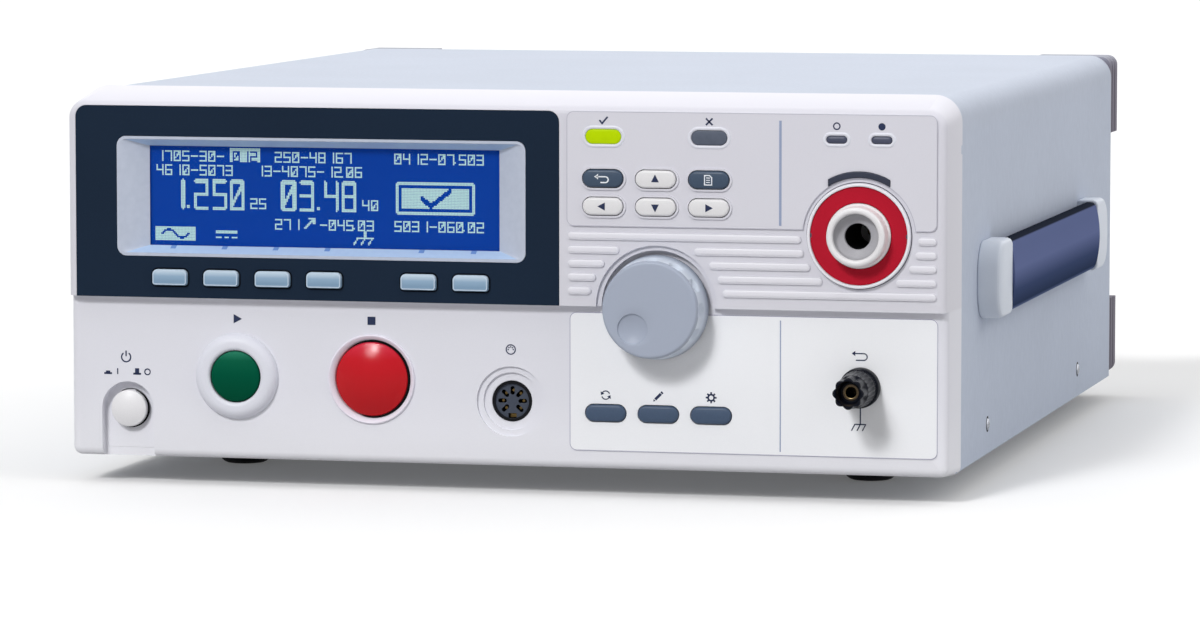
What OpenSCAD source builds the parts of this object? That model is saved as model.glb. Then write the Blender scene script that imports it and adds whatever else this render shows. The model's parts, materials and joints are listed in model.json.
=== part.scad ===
// Bench hipot tester: moulded front bezel, wrap-over cover, strap handle and rear corner guards.
// Lengths are millimetres. The front faces -Y, the feet stand on Z = 0.
// Inside place(), X runs from the panel centre, Y from the lower front plane, Z from the panel lower edge.

/* [Display] */
// Width of the display window
window_w = 154.4; // [140:0.1:180]
// Height of the display window
window_h = 43.8; // [40:0.1:54]
// Corner radius of the display window
window_r = 3.5; // [1:0.1:6]
// Display panel left of the window
window_left = 15.8; // [12:0.1:24]
// Display panel right of the window
window_right = 12.4; // [10:0.1:20]
// Display panel above the window
window_top = 11.1; // [8:0.1:16]
// Ledge to the window's lower edge
window_rise = 15.2; // [13:0.1:20]
// Thickness of the display panel
display_t = 1.0; // [0.8:0.1:1.6]
// Depth of the seat moulded for the display panel
display_seat = 0.8; // [0.4:0.1:1.2]
// Corner radius of the display panel
display_r = 4; // [2:0.1:7]
// Depth of the window frame
frame_d = 5.2; // [4.5:0.1:6]
// Rim of the window frame before its slope starts
frame_lip = 1; // [0.6:0.1:1.6]
// Window frame beside the visible screen
frame_side = 11; // [8:0.1:14]
// Window frame above and below the visible screen
frame_end = 3.65; // [3.4:0.05:5]
// Thickness of the clear pane
pane_t = 1; // [0.6:0.1:1.4]
// Frame behind the pane that the pane overlaps
pane_lap = 3; // [1.5:0.1:3.5]
// Screen module past the visible screen at each side
lcd_side = 11; // [5:0.1:12]
// Screen module past the visible screen above and below
lcd_lap = 5; // [3:0.1:6]

/* [Front bezel] */
// Height of the lower half, up to the ledge
lower_h = 59.2; // [54:0.1:70]
// How far the upper half stands proud of the lower half
step_d = 3.6; // [2.5:0.1:4.5]
// Bare bezel left of the display panel and right of the controls
edge_margin = 3.3; // [3:0.1:8]
// Bare bezel above the display panel
top_margin = 2.3; // [2:0.1:6]
// Bare bezel between the display panel and the controls
zone_gap = 3.1; // [2:0.1:6]
// Width of the controls at the right
control_w = 134.8; // [130:0.1:150]
// Wall of the bezel
bezel_wall = 3; // [2.4:0.1:3.6]
// Rounding of the bezel's front edges
edge_r = 3; // [1.5:0.1:4]
// Radius of the front face's upper corners
corner_r = 7; // [5:0.1:9]
// Radius of the bezel's lower corners
low_corner_r = 3.2; // [3.2:0.1:4]
// Depth of the bezel behind the lower front plane
bezel_d = 20; // [18:0.1:26]
// How far the bezel's rim stands proud of the cover
rim_proud = 1; // [0.7:0.1:1.6]
// Depth of the rebate that holds the cover
rebate_d = 4; // [2:0.1:5]
// Height of raised pads, rims and ribs
relief_h = 0.6; // [0.3:0.1:0.9]
// Pad below the navigation keys
pad_below = 4; // [3:0.1:5]
// Bare ring between the high voltage socket's rim and the pad
pad_clear = 1.8; // [1:0.1:2.4]
// Width of one rib
rib_w = 2.9; // [2:0.1:3.4]
// Spacing of the ribs
rib_pitch = 4.95; // [4.2:0.05:5.6]
// Number of rib rows
rib_rows = 5; // [3:1:5]
// Ledge to the first rib
rib_rise = 5.7; // [4:0.1:7]
// Clear space between a rib's end and the control beside it
rib_clear = 2.4; // [1.5:0.1:3]

// Height of the release notch in the bezel's rim at each side
notch_h = 3.2; // [2:0.1:5]
// Width of the release notch
notch_w = 1.6; // [1:0.1:3]
// Lower edge of the panel to the release notch
notch_rise = 116; // [100:0.1:118]

/* [Keys] */
// Width of a soft key
soft_w = 13.3; // [10:0.1:15]
// Height of a soft key
soft_h = 5.8; // [4.5:0.1:6.5]
// Corner radius of a soft key
soft_r = 1.6; // [0.8:0.1:2.2]
// Side of the visible screen to the first soft key's centre
soft_inset = 9.325; // [8:0.025:12]
// Extra space before the last two soft keys
soft_group_gap = 16; // [8:0.1:18]
// Ledge to the soft keys' centres
soft_rise = 7.5; // [7:0.1:8.5]
// Soft keys' height above the display panel
soft_proud = 1.6; // [1.2:0.1:2.4]
// Width of a navigation key
nav_w = 14.8; // [12:0.1:16]
// Height of a navigation key
nav_h = 6.3; // [5:0.1:7]
// Spacing of the key columns
key_pitch = 19.45; // [18.5:0.05:21]
// Spacing of the navigation rows
nav_row_pitch = 10; // [9.5:0.1:11]
// Top edge of the bezel to the first navigation row
nav_drop = 26.2; // [24:0.1:28]
// Navigation keys' height above their pad
nav_proud = 1.6; // [1.2:0.1:2.4]
// Width of the moulded rim round a navigation key
nav_rim = 0.7; // [0.5:0.1:0.9]
// Width of a function key
func_w = 14.9; // [12:0.1:16]
// Height of a function key
func_h = 6.1; // [5:0.1:7]
// Lower edge of the panel to the function keys' centres
func_rise = 20.4; // [16:0.1:24]
// Function keys' height above the label film
func_proud = 1.1; // [0.8:0.1:1.6]
// Edge of the controls to the first key column
key_inset = 13.4; // [12:0.1:15]
// Travel of every key
key_travel = 1; // [0.8:0.1:1.2]
// Clearance round a key
key_clear = 0.3; // [0.2:0.05:0.5]
// Rounding of a key's edge
key_crown = 0.8; // [0.4:0.1:1]
// Flange that keeps a key behind the panel
key_flange = 0.8; // [0.6:0.1:1]
// Thickness of that flange
key_flange_t = 1; // [0.8:0.1:1.1]
// Radius of a key's stem
stem_r = 1.6; // [1.2:0.1:2]
// Free play at a key's stops
key_play = 0.1; // [0.05:0.05:0.15]
// Width of a key switch
switch_w = 6; // [4.5:0.1:7]
// Height of a key switch on its board
switch_h = 5; // [4.5:0.1:5.2]

/* [Lamps] */
// Width of the pass and fail lamps
lamp_w = 13.1; // [10:0.1:15]
// Height of the pass and fail lamps
lamp_h = 5.2; // [4:0.1:6]
// Top edge of the bezel to the lamps
lamp_drop = 11.2; // [10:0.1:13]
// Width of the small lamps
small_lamp_w = 7.4; // [6:0.1:9]
// Height of the small lamps
small_lamp_h = 2.6; // [2:0.1:3.4]
// Spacing of the small lamps
small_lamp_pitch = 16.3; // [13:0.1:18]
// Lamps' height above their pad
lamp_proud = 0.4; // [0.2:0.1:0.8]
// Flange of a lamp behind the panel
lamp_flange = 1; // [0.8:0.1:1.4]
// Depth of a lamp behind the panel
lamp_back = 2.5; // [1.5:0.1:3]

/* [Knob] */
// Radius of the knob at its base
knob_r = 19; // [16:0.1:19.5]
// Radius of the knob's front face
knob_face_r = 17.4; // [14:0.1:17.8]
// Knob's reach in front of the lower plane
knob_reach = 15; // [13:0.1:20]
// Gap behind the knob
knob_gap = 1; // [0.8:0.1:1.6]
// Wall of the hollow knob
knob_wall = 2.4; // [2:0.1:3]
// Rounding of the knob's front edge
knob_edge = 1.6; // [0.8:0.1:2]
// Radius of the finger dimple
dimple_r = 5.4; // [4:0.1:6]
// Depth of the finger dimple
dimple_d = 1.8; // [1:0.1:2]
// Depth of the dimple's upright wall
dimple_wall = 0.7; // [0.3:0.1:0.9]
// Flats from the dimple's wall to its middle
dimple_steps = 6; // [4:1:10]
// Direction of the dimple below the horizontal
dimple_turn = 48; // [0:1:90]
// Distance of the dimple from the knob's axis
dimple_at = 9.3; // [8:0.1:9.8]
// Number of finger scallops
scallops = 12; // [8:1:16]
// Radius of one scallop
scallop_r = 3.2; // [2:0.1:4]
// Depth of one scallop
scallop_d = 0.9; // [0.5:0.1:1.2]
// Space between the knob and its arch
arch_gap = 1.5; // [1.2:0.1:2]
// Width of the arch's stepped rim
arch_rim = 1.8; // [1:0.1:2.4]
// Depth of the arch's stepped rim
arch_rim_d = 1.2; // [0.6:0.1:1.8]
// Radius of the encoder's shaft
shaft_r = 3; // [2:0.1:3.2]
// Radius of the encoder's bushing
bushing_r = 4.5; // [4:0.1:5.5]
// Width of the encoder
encoder_w = 13; // [11:0.1:14]
// Running clearance of every shaft
run_clear = 0.05; // [0.03:0.01:0.08]

/* [Terminals] */
// Edge of the controls to the terminals' axis
terminal_inset = 106.8; // [104:0.1:112]
// Ledge to the high voltage socket
hv_rise = 27.1; // [25:0.1:30]
// Radius of the red ring
hv_ring_r = 17.6; // [15:0.1:18.4]
// Thickness of the red ring
hv_ring_t = 1.1; // [0.8:0.1:1.6]
// Width of the rim moulded round the red ring
hv_rim = 1.1; // [0.8:0.1:1.6]
// Radius of the socket's collar at its base
collar_r = 11.6; // [10:0.1:12.5]
// Radius of the socket's collar at its front
collar_face_r = 10.6; // [9.2:0.1:11]
// Reach of the collar in front of the upper plane
collar_reach = 8; // [6:0.1:10]
// Radius of the collar's mouth
collar_mouth_r = 8; // [6.5:0.1:8.6]
// Depth of the collar's mouth
collar_mouth_d = 4; // [3:0.1:5]
// Rounding of the collar's lip
collar_lip = 0.8; // [0.5:0.1:1]
// Radius of the socket's bore
hv_bore_r = 4.7; // [3.5:0.1:5]
// Radius of the socket's neck behind the panel
hv_neck_r = 9; // [7.5:0.1:9.5]
// Length of the neck behind the upper plane
hv_neck = 30; // [24:0.1:36]
// Wall that closes the socket's bore
hv_end = 4; // [2:0.1:6]
// Radius of the contact's pin
contact_r = 2; // [1.5:0.1:2.6]
// Contact's reach behind the neck
contact_tail = 6; // [4:0.1:10]
// Thickness of the contact's lug
contact_lug = 2; // [1:0.1:3]
// Width of the indicator above the socket
indicator_w = 22.4; // [16:0.1:24]
// Radial height of the indicator
indicator_h = 2.2; // [1.8:0.1:3.2]
// Pad's round edge to the indicator
indicator_gap = 0.2; // [0.2:0.1:0.8]
// Lower edge of the panel to the return terminal
return_rise = 31.8; // [29:0.1:34]
// Radius of the return terminal's base
post_base_r = 7.2; // [6:0.1:8]
// Thickness of the return terminal's base
post_base_t = 4; // [3:0.1:5]
// Reach of the return terminal
post_reach = 24; // [20:0.1:28]
// Radius of the stud
stud_r = 3; // [2.8:0.1:3.2]
// Radius of the stud's socket
stud_bore_r = 2; // [1.5:0.1:2.1]
// Depth of the stud's socket
stud_bore_d = 18; // [12:0.1:19]
// Radius of the cap
cap_r = 5.7; // [5.2:0.1:6.4]
// Length of the cap's lobed front
cap_grip = 8; // [5:0.1:10]
// Number of the cap's lobes
cap_lobes = 8; // [6:1:12]
// Radius of a flute between two lobes
flute_r = 1.3; // [0.8:0.1:1.5]
// Depth of a flute
flute_d = 0.6; // [0.4:0.1:0.9]
// Recess in the cap's front
cap_recess = 6; // [4:0.1:8]
// Radius of the cap's mouth
cap_mouth_r = 4.4; // [3.6:0.1:4.6]
// Radius of the cap's skirt where it starts
cap_waist_r = 5.9; // [5:0.1:6.2]
// Radius of the cap's skirt at its back
cap_back_r = 6.6; // [5.5:0.1:7]
// Rounding of the terminal's front edges
post_edge = 0.6; // [0.3:0.1:1]
// Thickness of the clamp washer
washer_t = 1.8; // [1.2:0.1:2.6]
// Space left between pieces that move apart
part_gap = 0.3; // [0.2:0.05:0.4]
// Radius of the terminal's bushing through the panel
post_bush_r = 4.4; // [4:0.1:5]
// Radius of the terminal's nut
post_nut_r = 6; // [5.2:0.1:7]
// Radius of the stud's own nut
stud_nut_r = 5; // [4.5:0.1:6]
// Thickness of the terminal's nut
post_nut_t = 3; // [2:0.1:4]

/* [Buttons] */
// Left edge of the panel to the power button
power_inset = 21.5; // [18:0.1:26]
// Lower edge of the panel to the power button
power_rise = 17.6; // [16:0.1:20]
// Radius of the power button
power_r = 6.8; // [5.5:0.1:7.5]
// Radius of the finger recess round the power button
recess_r = 10; // [9.5:0.1:11]
// Depth of the finger recess
recess_d = 3.9; // [3:0.1:3.9]
// Travel of the power button
power_travel = 3.5; // [2.5:0.1:4]
// Width, height and depth of the power switch's body
power_body = 14; // [12:0.1:18]
// Thickness of the power switch's plate
power_plate = 2; // [1.5:0.1:3]
// Power button to the start button
start_step = 42.1; // [38:0.1:46]
// Start button to the stop button
stop_step = 51.1; // [42:0.1:54]
// Remote socket to the control area's left edge
remote_inset = 22; // [20:0.1:30]
// Lower edge of the panel to the start and stop buttons
button_rise = 30.6; // [26:0.1:34]
// Radius of the start button
start_r = 9.25; // [7.5:0.05:10]
// Radius of the start button's ring
start_ring_r = 15.7; // [13.5:0.1:17]
// Height of the start button's ring
start_ring_h = 3.6; // [2.5:0.1:5]
// Radius of the stop button
stop_r = 13.6; // [11:0.1:14.5]
// Radius of the stop button's ring past the button
stop_ring_w = 2.6; // [2.3:0.1:3]
// Height of the stop button's ring
stop_ring_h = 1; // [0.6:0.1:1.6]
// Inner rounding of the start button's ring
start_lip = 2; // [1:0.1:2.4]
// Start button's rim behind the front of its ring
start_sink = 1; // [0.6:0.1:2]
// Height of the start button's dome
start_dome = 0.9; // [0.4:0.1:1.6]
// Stop button's rim behind the lower front plane
stop_sink = 0.2; // [0:0.1:1]
// Slope of the stop button's ring outside its edge
stop_ring_edge = 0.5; // [0.3:0.1:0.8]
// Height of the stop button's dome
stop_dome = 3.2; // [2:0.1:4]
// Power button's rim behind the lower front plane
power_sink = 0.8; // [0.4:0.1:2]
// Height of the power button's dome
power_dome = 1.6; // [0.8:0.1:2.4]
// Travel of the start and stop buttons
button_travel = 3; // [2:0.1:4]
// Space left behind a button or its switch at the end of its travel
button_spare = 1; // [0.5:0.1:2]
// Clearance round a button
button_clear = 0.4; // [0.3:0.05:0.5]
// Wall of a button's tube
tube_wall = 1.2; // [1:0.1:1.5]
// Length of a button's tube behind the panel
tube_len = 18; // [14:0.1:24]

/* [Remote socket] */
// Lower edge of the panel to the remote socket
remote_rise = 23.7; // [20:0.1:28]
// Radius of the socket's face
remote_r = 7.4; // [6.5:0.1:8]
// Radius of the first step round the socket
remote_step_r = 12.75; // [12:0.05:14]
// Radius of the second step round the socket
remote_seat_r = 10.5; // [9.5:0.05:11]
// Depth of one step
remote_step_d = 1; // [0.6:0.1:1.3]
// Depth of the socket behind the panel
remote_len = 16; // [12:0.1:22]
// Radius of the contact circle
remote_pin_at = 3.8; // [3.6:0.1:4]
// Radius of a contact
remote_pin_r = 0.5; // [0.4:0.05:0.6]
// Number of contacts
remote_pins = 7; // [3:1:7]
// Angle between two contacts
remote_pin_turn = 45; // [40:1:45]
// Radial length of a contact's slot
remote_slot = 3.2; // [2.4:0.1:3.4]
// Contacts behind the socket's face
remote_pin_in = 2.4; // [1.5:0.1:4]
// Wall of the socket's shell
remote_shell = 1.1; // [0.8:0.1:1.4]
// Depth of the insert inside the shell
remote_sink = 0.8; // [0.4:0.1:1.2]
// Floor behind the contacts
remote_floor = 4; // [3:0.1:6]
// Thickness of the socket's flange behind the panel
remote_flange = 2; // [1.5:0.1:3]
// Width of the key slot
remote_key_w = 3; // [2:0.1:3.4]
// Height of the key slot
remote_key_h = 1.8; // [1.4:0.1:2]
// Depth of the key slot
remote_key_d = 4; // [3:0.1:5]

/* [Label film] */
// Thickness of the label film
film_t = 0.3; // [0.2:0.05:0.4]
// Bare panel between the ledge and the film
film_top = 2.4; // [1.5:0.1:4]
// Bare panel below the film
film_bottom = 6.6; // [4:0.1:8]
// Corner radius of the film
film_r = 2.5; // [1:0.1:4]

/* [Housing] */
// Cover past the front face at each side
cover_side = 0.5; // [0.3:0.1:1]
// Cover above the front face
cover_rise = 3; // [1.5:0.1:4]
// Depth from the lower front plane to the cover's rear edge
cover_back = 383.6; // [340:0.1:440]
// Bend radius of the cover
cover_r = 9; // [6:0.1:12]
// Sheet thickness
sheet_t = 1.2; // [1:0.1:1.6]
// Height of the chassis tray's side flanges
flange_h = 20; // [18:0.1:30]
// Rear panel's depth inside the cover
rear_inset = 3; // [2:0.1:6]
// Fit between seated pieces
fit_gap = 0.1; // [0.05:0.01:0.15]
// Radius of a screw's head
screw_head_r = 2.7; // [2.2:0.1:3.2]
// Radius of a screw's head at its top
screw_top_r = 1.9; // [1.6:0.1:2.2]
// Height of a screw's head
screw_head_h = 0.8; // [0.5:0.1:0.9]
// Radius of a screw's shank
screw_r = 1.5; // [1.2:0.1:1.8]
// Length of a screw under its head
screw_len = 8; // [5:0.1:12]
// Height of the side screws
screw_rise = 11; // [8:0.1:14]
// First side screw behind the lower front plane
screw_front = 82; // [60:0.1:110]
// Spacing of the side screws
screw_pitch = 215; // [160:0.1:240]
// Height of a foot
foot_h = 10.2; // [8:0.1:16]
// Radius of a foot where it meets the tray
foot_r = 10; // [8:0.1:13]
// Radius of a foot on the floor
foot_low_r = 6; // [4:0.1:7]
// Feet from the side of the cover
foot_inset = 43; // [30:0.1:60]
// Front feet behind the lower front plane
foot_front = 78; // [50:0.1:100]
// Spacing of the front and rear feet
foot_pitch = 250; // [200:0.1:270]
// Length of a rear guard's legs
guard_leg = 32; // [24:0.1:40]
// Thickness of a rear guard's legs
guard_t = 9; // [7:0.1:12]
// Depth of a rear guard
guard_d = 20; // [14:0.1:30]
// Width of a groove round a rear guard
guard_groove = 1.6; // [1:0.1:2.4]
// Pin of a rear guard behind its corner
guard_pin_in = 8.5; // [7:0.1:12]
// Radius of a rear guard's pin
guard_pin_r = 3.5; // [2.5:0.1:4]
// Cover's edge to a rear guard
guard_inset = 0.4; // [0.2:0.1:2.4]
// Radius of a rear guard's outer corner
guard_r = 4; // [2.5:0.1:6]

/* [Strap handle] */
// First end of the handle behind the lower front plane
strap_front = 58; // [40:0.1:80]
// Length of the handle
strap_len = 264; // [240:0.1:290]
// Length of an end cap
end_cap_len = 28; // [24:0.1:36]
// Height of the end caps
end_cap_h = 28.5; // [24:0.1:34]
// Reach of the end caps
end_cap_reach = 8.4; // [7.5:0.1:9]
// Rounding of an end cap's upper edge
end_cap_edge = 2; // [0.8:0.1:2.2]
// Corner radius of an end cap's outer end
end_cap_r = 11; // [6:0.1:12]
// Height of the handle's lower edge
strap_rise = 51.5; // [45:0.1:56]
// Reach of the strap's crown
strap_reach = 9.3; // [9.1:0.1:11]
// Free space behind the strap
strap_space = 3.2; // [2.6:0.1:3.6]
// Height of the strap
strap_h = 27; // [22:0.1:28]
// Crown of the strap's outer face
strap_crown = 1.9; // [1:0.1:2.6]
// Length of the strap's stiff middle
strap_mid = 96; // [70:0.1:120]
// Thickness of the steel tongue
tongue_t = 1.6; // [1:0.1:2]
// Height of the steel tongue
tongue_h = 18; // [14:0.1:20]
// Strap's inner face to the steel tongue
tongue_in = 1; // [0.6:0.1:1.4]
// Length of the tongue inside an end cap
tongue_len = 20; // [16:0.1:22]

/* [Rear] */
// Centre of the fan from the panel's centre
fan_x = -105; // [-120:0.1:-60]
// Height of the fan's centre
fan_z = 78; // [60:0.1:86]
// Width of the fan
fan_w = 60; // [50:0.1:80]
// Depth of the fan
fan_d = 15; // [12:0.1:25]
// Edge of the fan to its screws
fan_hole_in = 5; // [4:0.1:6]
// Corner radius of the fan
fan_r = 4; // [2:0.1:5]
// Thickness of the plate that carries the rotor
fan_plate = 1.6; // [1.2:0.1:2.4]
// Width of that plate's struts
fan_strut = 5; // [4:0.1:7]
// Radius of the fan's shaft
fan_shaft_r = 1.5; // [1.2:0.1:2]
// Rotor to the rear panel
fan_rear_gap = 1.5; // [1:0.1:2.5]
// Wall of the fan's duct
fan_wall = 2; // [1.5:0.1:3]
// Gap round the blades
blade_gap = 1; // [0.6:0.1:2]
// Radius of the fan's hub
hub_r = 12; // [10:0.1:14]
// Number of blades
blades = 7; // [5:1:9]
// Pitch angle of a blade
blade_pitch = 35; // [25:1:40]
// Thickness of a blade
blade_t = 1.2; // [1:0.1:1.6]
// Number of slotted rings in the fan's grille
grille_rings = 4; // [3:1:5]
// Width of a grille slot
grille_slot = 3.4; // [2.4:0.1:3.6]
// Width of the grille's spokes
grille_spoke = 3; // [2:0.1:4]
// Centre of the mains inlet from the panel's centre
inlet_x = 112; // [60:0.1:118]
// Height of the mains inlet's centre
inlet_z = 62; // [58:0.1:72]
// Width of the mains inlet's body
inlet_w = 28; // [27:0.1:32]
// Height of the mains inlet's body
inlet_h = 38.5; // [38:0.1:46]
// Depth of the mains inlet's body
inlet_d = 30; // [28:0.1:36]
// Lip of the mains inlet
inlet_lip = 2.4; // [1.5:0.1:3]
// Lip past the mains inlet's body
inlet_flange = 2.5; // [2:0.1:4]
// Corner radius of the mains inlet's lip
inlet_r = 2; // [1:0.1:3]
// Wall between the plug's socket, the fuse drawer and the edge
inlet_rib = 3; // [2.5:0.1:3.5]
// Width of the plug's socket
plug_w = 24; // [23.5:0.1:24.5]
// Height of the plug's socket
plug_h = 16.5; // [16:0.1:17]
// Depth of the plug's socket
plug_d = 18; // [16:0.1:20]
// Outer inlet blades beside the middle one
plug_blade_x = 7; // [6.5:0.1:7.5]
// Outer inlet blades below the middle of the socket, and the middle one above it
plug_blade_z = 2; // [1.5:0.1:2.5]
// Thickness of an inlet blade
plug_blade_t = 2; // [1.5:0.1:2.4]
// Width of an inlet blade
plug_blade_w = 4; // [3.5:0.1:5]
// Length of an inlet blade
plug_blade = 12; // [10:0.1:13]
// Height of the fuse drawer
drawer_h = 12; // [10:0.1:13]
// Fuse drawer's face behind the mains inlet's lip
drawer_proud = 1; // [0.5:0.1:2]
// Width of a fuse's space
fuse_w = 6; // [5.2:0.1:7]
// End wall of a fuse's space
fuse_end = 4; // [2:0.1:5]
// Depth of the fuse drawer
drawer_d = 24; // [20:0.1:26]
// First interface connector from the panel's centre
port_x = -40; // [-50:0.1:0]
// Spacing of the interface connectors
port_pitch = 44; // [40:0.1:46]
// Height of the interface connectors
port_z = 34; // [24:0.1:50]
// Number of interface connectors
ports = 3; // [1:1:3]
// Width of a connector's shell
port_w = 18; // [16:0.1:24]
// Height of a connector's shell
port_h = 9; // [7:0.1:11]
// Wall of a connector's shell
port_shell = 0.6; // [0.4:0.1:1]
// Corner radius of a connector's shell
port_r = 1.6; // [1.2:0.1:2]
// Connector in front of the rear panel
port_back = 8; // [6:0.1:12]
// Thickness of a connector's plate
port_plate = 2; // [1:0.1:3]
// Ear of a connector's plate at each side
port_ear = 6; // [4:0.1:8]
// Reach of a connector's shell behind the rear panel
port_reach = 6; // [4:0.1:7]

/* [Inside] */
// Front board behind the lower front plane
board_y = 10.4; // [10.4:0.1:12]
// Thickness of a circuit board
board_t = 1.6; // [1:0.1:2]
// Radius of a board boss
boss_r = 3; // [2.4:0.1:3.4]
// Side of the panel to the front board's left bosses
boss_inset = 9; // [8:0.1:12]
// Last key column to the front board's right bosses
boss_past = 20; // [18:0.1:22]
// First key column to the lower left boss
boss_side = 8; // [6:0.1:9]
// Function keys to the lower bosses
boss_drop = 10; // [9:0.1:12]
// Height of the main board's posts
post_h = 8; // [5:0.1:12]
// Width of the main board
main_w = 200; // [160:0.1:210]
// Depth of the main board
main_d = 220; // [180:0.1:240]
// Side of the tray to the main board
main_side = 14; // [10:0.1:20]
// Edge of the main board to its posts
main_hole_in = 8; // [6:0.1:12]
// Main board behind the lower front plane
main_front = 70; // [60:0.1:90]
// Width of the high voltage transformer
core_w = 84; // [72:0.1:90]
// Height of the high voltage transformer
core_h = 70; // [60:0.1:84]
// Depth of the transformer's core
core_d = 45; // [36:0.1:60]
// Width of the core's outer legs
core_leg = 14; // [12:0.1:16]
// Transformer behind the lower front plane
core_front = 130; // [100:0.1:180]
// Side of the tray to the transformer
core_side = 12; // [8:0.1:16]
// Coil past the core at each end
coil_past = 12; // [8:0.1:16]

/* [Hidden] */
$fn = 48;

// Thickness of the thin slices that a hull joins, and overrun of every cut
sliver = 0.01;
cut = 1;

// Slices of a rounded edge, and the angle that slice i has turned through
edge_steps = 2;
function edge_turn(i) = 90 * i / edge_steps;

// Panel layout
display_w = window_left + window_w + window_right;
panel_w = 2 * edge_margin + display_w + zone_gap + control_w;
window_z = lower_h + window_rise + window_h / 2;
display_h = window_rise + window_h + window_top;
panel_h = lower_h + display_h + top_margin;
display_x = -panel_w / 2 + edge_margin + display_w / 2;
display_z = lower_h + display_h / 2;
window_x = -panel_w / 2 + edge_margin + window_left + window_w / 2;
control_x0 = panel_w / 2 - edge_margin - control_w;
control_x1 = panel_w / 2 - edge_margin;
upper_y = -step_d;
display_y = upper_y + display_seat - display_t;
upper_back = upper_y + bezel_wall;
pad_y = upper_y - relief_h;
key_x = [for (i = [0:2]) control_x0 + key_inset + i * key_pitch];
view_w = window_w - 2 * frame_side;
view_h = window_h - 2 * frame_end;
soft_span = view_w - 2 * soft_inset;
soft_pitch = (soft_span - soft_group_gap) / 5;
soft_x = [for (i = [0:5]) window_x - soft_span / 2 + i * soft_pitch + (i > 3 ? soft_group_gap : 0)];
soft_z = lower_h + soft_rise;
nav_z = panel_h - nav_drop;
lamp_z = panel_h - lamp_drop;
knob_x = key_x[1];
knob_z = lower_h;
hv_x = control_x0 + terminal_inset;
hv_z = lower_h + hv_rise;
power_x = -panel_w / 2 + power_inset;
start_x = power_x + start_step;
stop_x = start_x + stop_step;
remote_x = control_x0 - remote_inset;
pad_z0 = nav_z - nav_row_pitch - nav_h / 2 - pad_below;
arch_r = knob_r + arch_gap;
hv_rim_r = hv_ring_r + hv_rim;
indicator_r = hv_rim_r + pad_clear + indicator_gap;

// Stack behind the front panel
frame_back = display_y + frame_d;
pane_back = frame_back + pane_t;
switch_y = board_y - switch_h;
stem_end = switch_y - key_travel - key_play;

// Housing
cover_w = panel_w + 2 * cover_side;
cover_h = panel_h + cover_rise;
cover_front = bezel_d - rebate_d;
rear_y = cover_back - rear_inset - sheet_t;
rim_half = cover_w / 2 + rim_proud;
side_x = cover_w / 2;
tray_w = cover_w - 2 * sheet_t;
origin_x = (side_x + strap_reach - rim_half) / 2;
origin_y = (cover_back + guard_d - post_reach) / 2;

// Front helpers: outlines are drawn as (x, z), solids run along Y
module place() translate([-origin_x, -origin_y, foot_h]) children();
module at(x, z) translate([x, 0, z]) children();
module slab(y0, y1) translate([0, y1, 0]) rotate([90, 0, 0]) linear_extrude(y1 - y0) children();
module rod(r, y0, y1) translate([0, y1, 0]) rotate([90, 0, 0]) cylinder(r = r, h = y1 - y0);
module turned() rotate([-90, 0, 0]) rotate_extrude() children();
module side_slab(x0, x1) translate([x0, 0, 0]) rotate([90, 0, 90]) linear_extrude(x1 - x0) children();
module box(x0, x1, y0, y1, z0, z1) translate([x0, y0, z0]) cube([x1 - x0, y1 - y0, z1 - z0]);

module pill(w, h) {
    square([w - h, h], center = true);
    for (side = [-1, 1]) translate([side * (w - h) / 2, 0]) circle(d = h);
}

module round_rect(w, h, r) {
    square([w - 2 * r, h], center = true);
    square([w, h - 2 * r], center = true);
    for (sx = [-1, 1], sz = [-1, 1]) translate([sx * (w / 2 - r), sz * (h / 2 - r)]) circle(r);
}

module ring(r0, r1) difference() {
    circle(r1);
    circle(r0);
}

// Outline with round upper corners, from z0 up to z1
module arch_outline(w, z0, z1, r) {
    translate([-w / 2, z0]) square([w, z1 - r - z0]);
    translate([r - w / 2, z0]) square([w - 2 * r, z1 - z0]);
    for (side = [-1, 1]) translate([side * (w / 2 - r), z1 - r]) circle(r);
}

// Solid with a rounded front edge
module crowned(y0, y1, crown) hull() for (i = [0:edge_steps]) {
    turn = edge_turn(i);
    slice_y = y0 + crown * (1 - cos(turn));
    slab(slice_y, i < edge_steps ? slice_y + sliver : y1) offset(delta = -crown * (1 - sin(turn))) children();
}

// Points of an arc about (x, y)
function arc(x, y, r, from, to, steps = 6) =
    [for (i = [0:steps]) let (a = from + (to - from) * i / steps) [x + r * cos(a), y + r * sin(a)]];

// Half width of the bezel at depth y
function side_at(y) =
    panel_w / 2 + (rim_half - panel_w / 2) * (y + step_d - edge_r) / (bezel_d + step_d - edge_r);

// Four corner discs of a bezel slice
module bezel_slice(y, half, z0, z1, top_r, low_r) {
    for (side = [-1, 1]) {
        translate([side * (half - top_r), y, z1 - top_r]) rod(top_r, 0, sliver);
        translate([side * (half - low_r), y, z0 + low_r]) rod(low_r, 0, sliver);
    }
}

// One half of the bezel's outer form: rounded front edges, then a draft back to the rim
module bezel_form(front, half) hull() {
    for (t = [0:22.5:90]) {
        inset = edge_r * (1 - sin(t));
        bezel_slice(front + edge_r * (1 - cos(t)), half - inset, inset, panel_h - inset,
            corner_r - inset, low_corner_r - inset);
    }
    bezel_slice(bezel_d - sliver, rim_half, -rim_proud, cover_h + rim_proud, cover_r + rim_proud,
        low_corner_r);
}

module bezel_outer() {
    reach = panel_w;
    intersection() {
        bezel_form(upper_y, panel_w / 2);
        box(-reach, reach, -reach, reach, lower_h, reach);
    }
    intersection() {
        bezel_form(0, side_at(edge_r));
        box(-reach, reach, -reach, reach, -reach, lower_h);
    }
}

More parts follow.
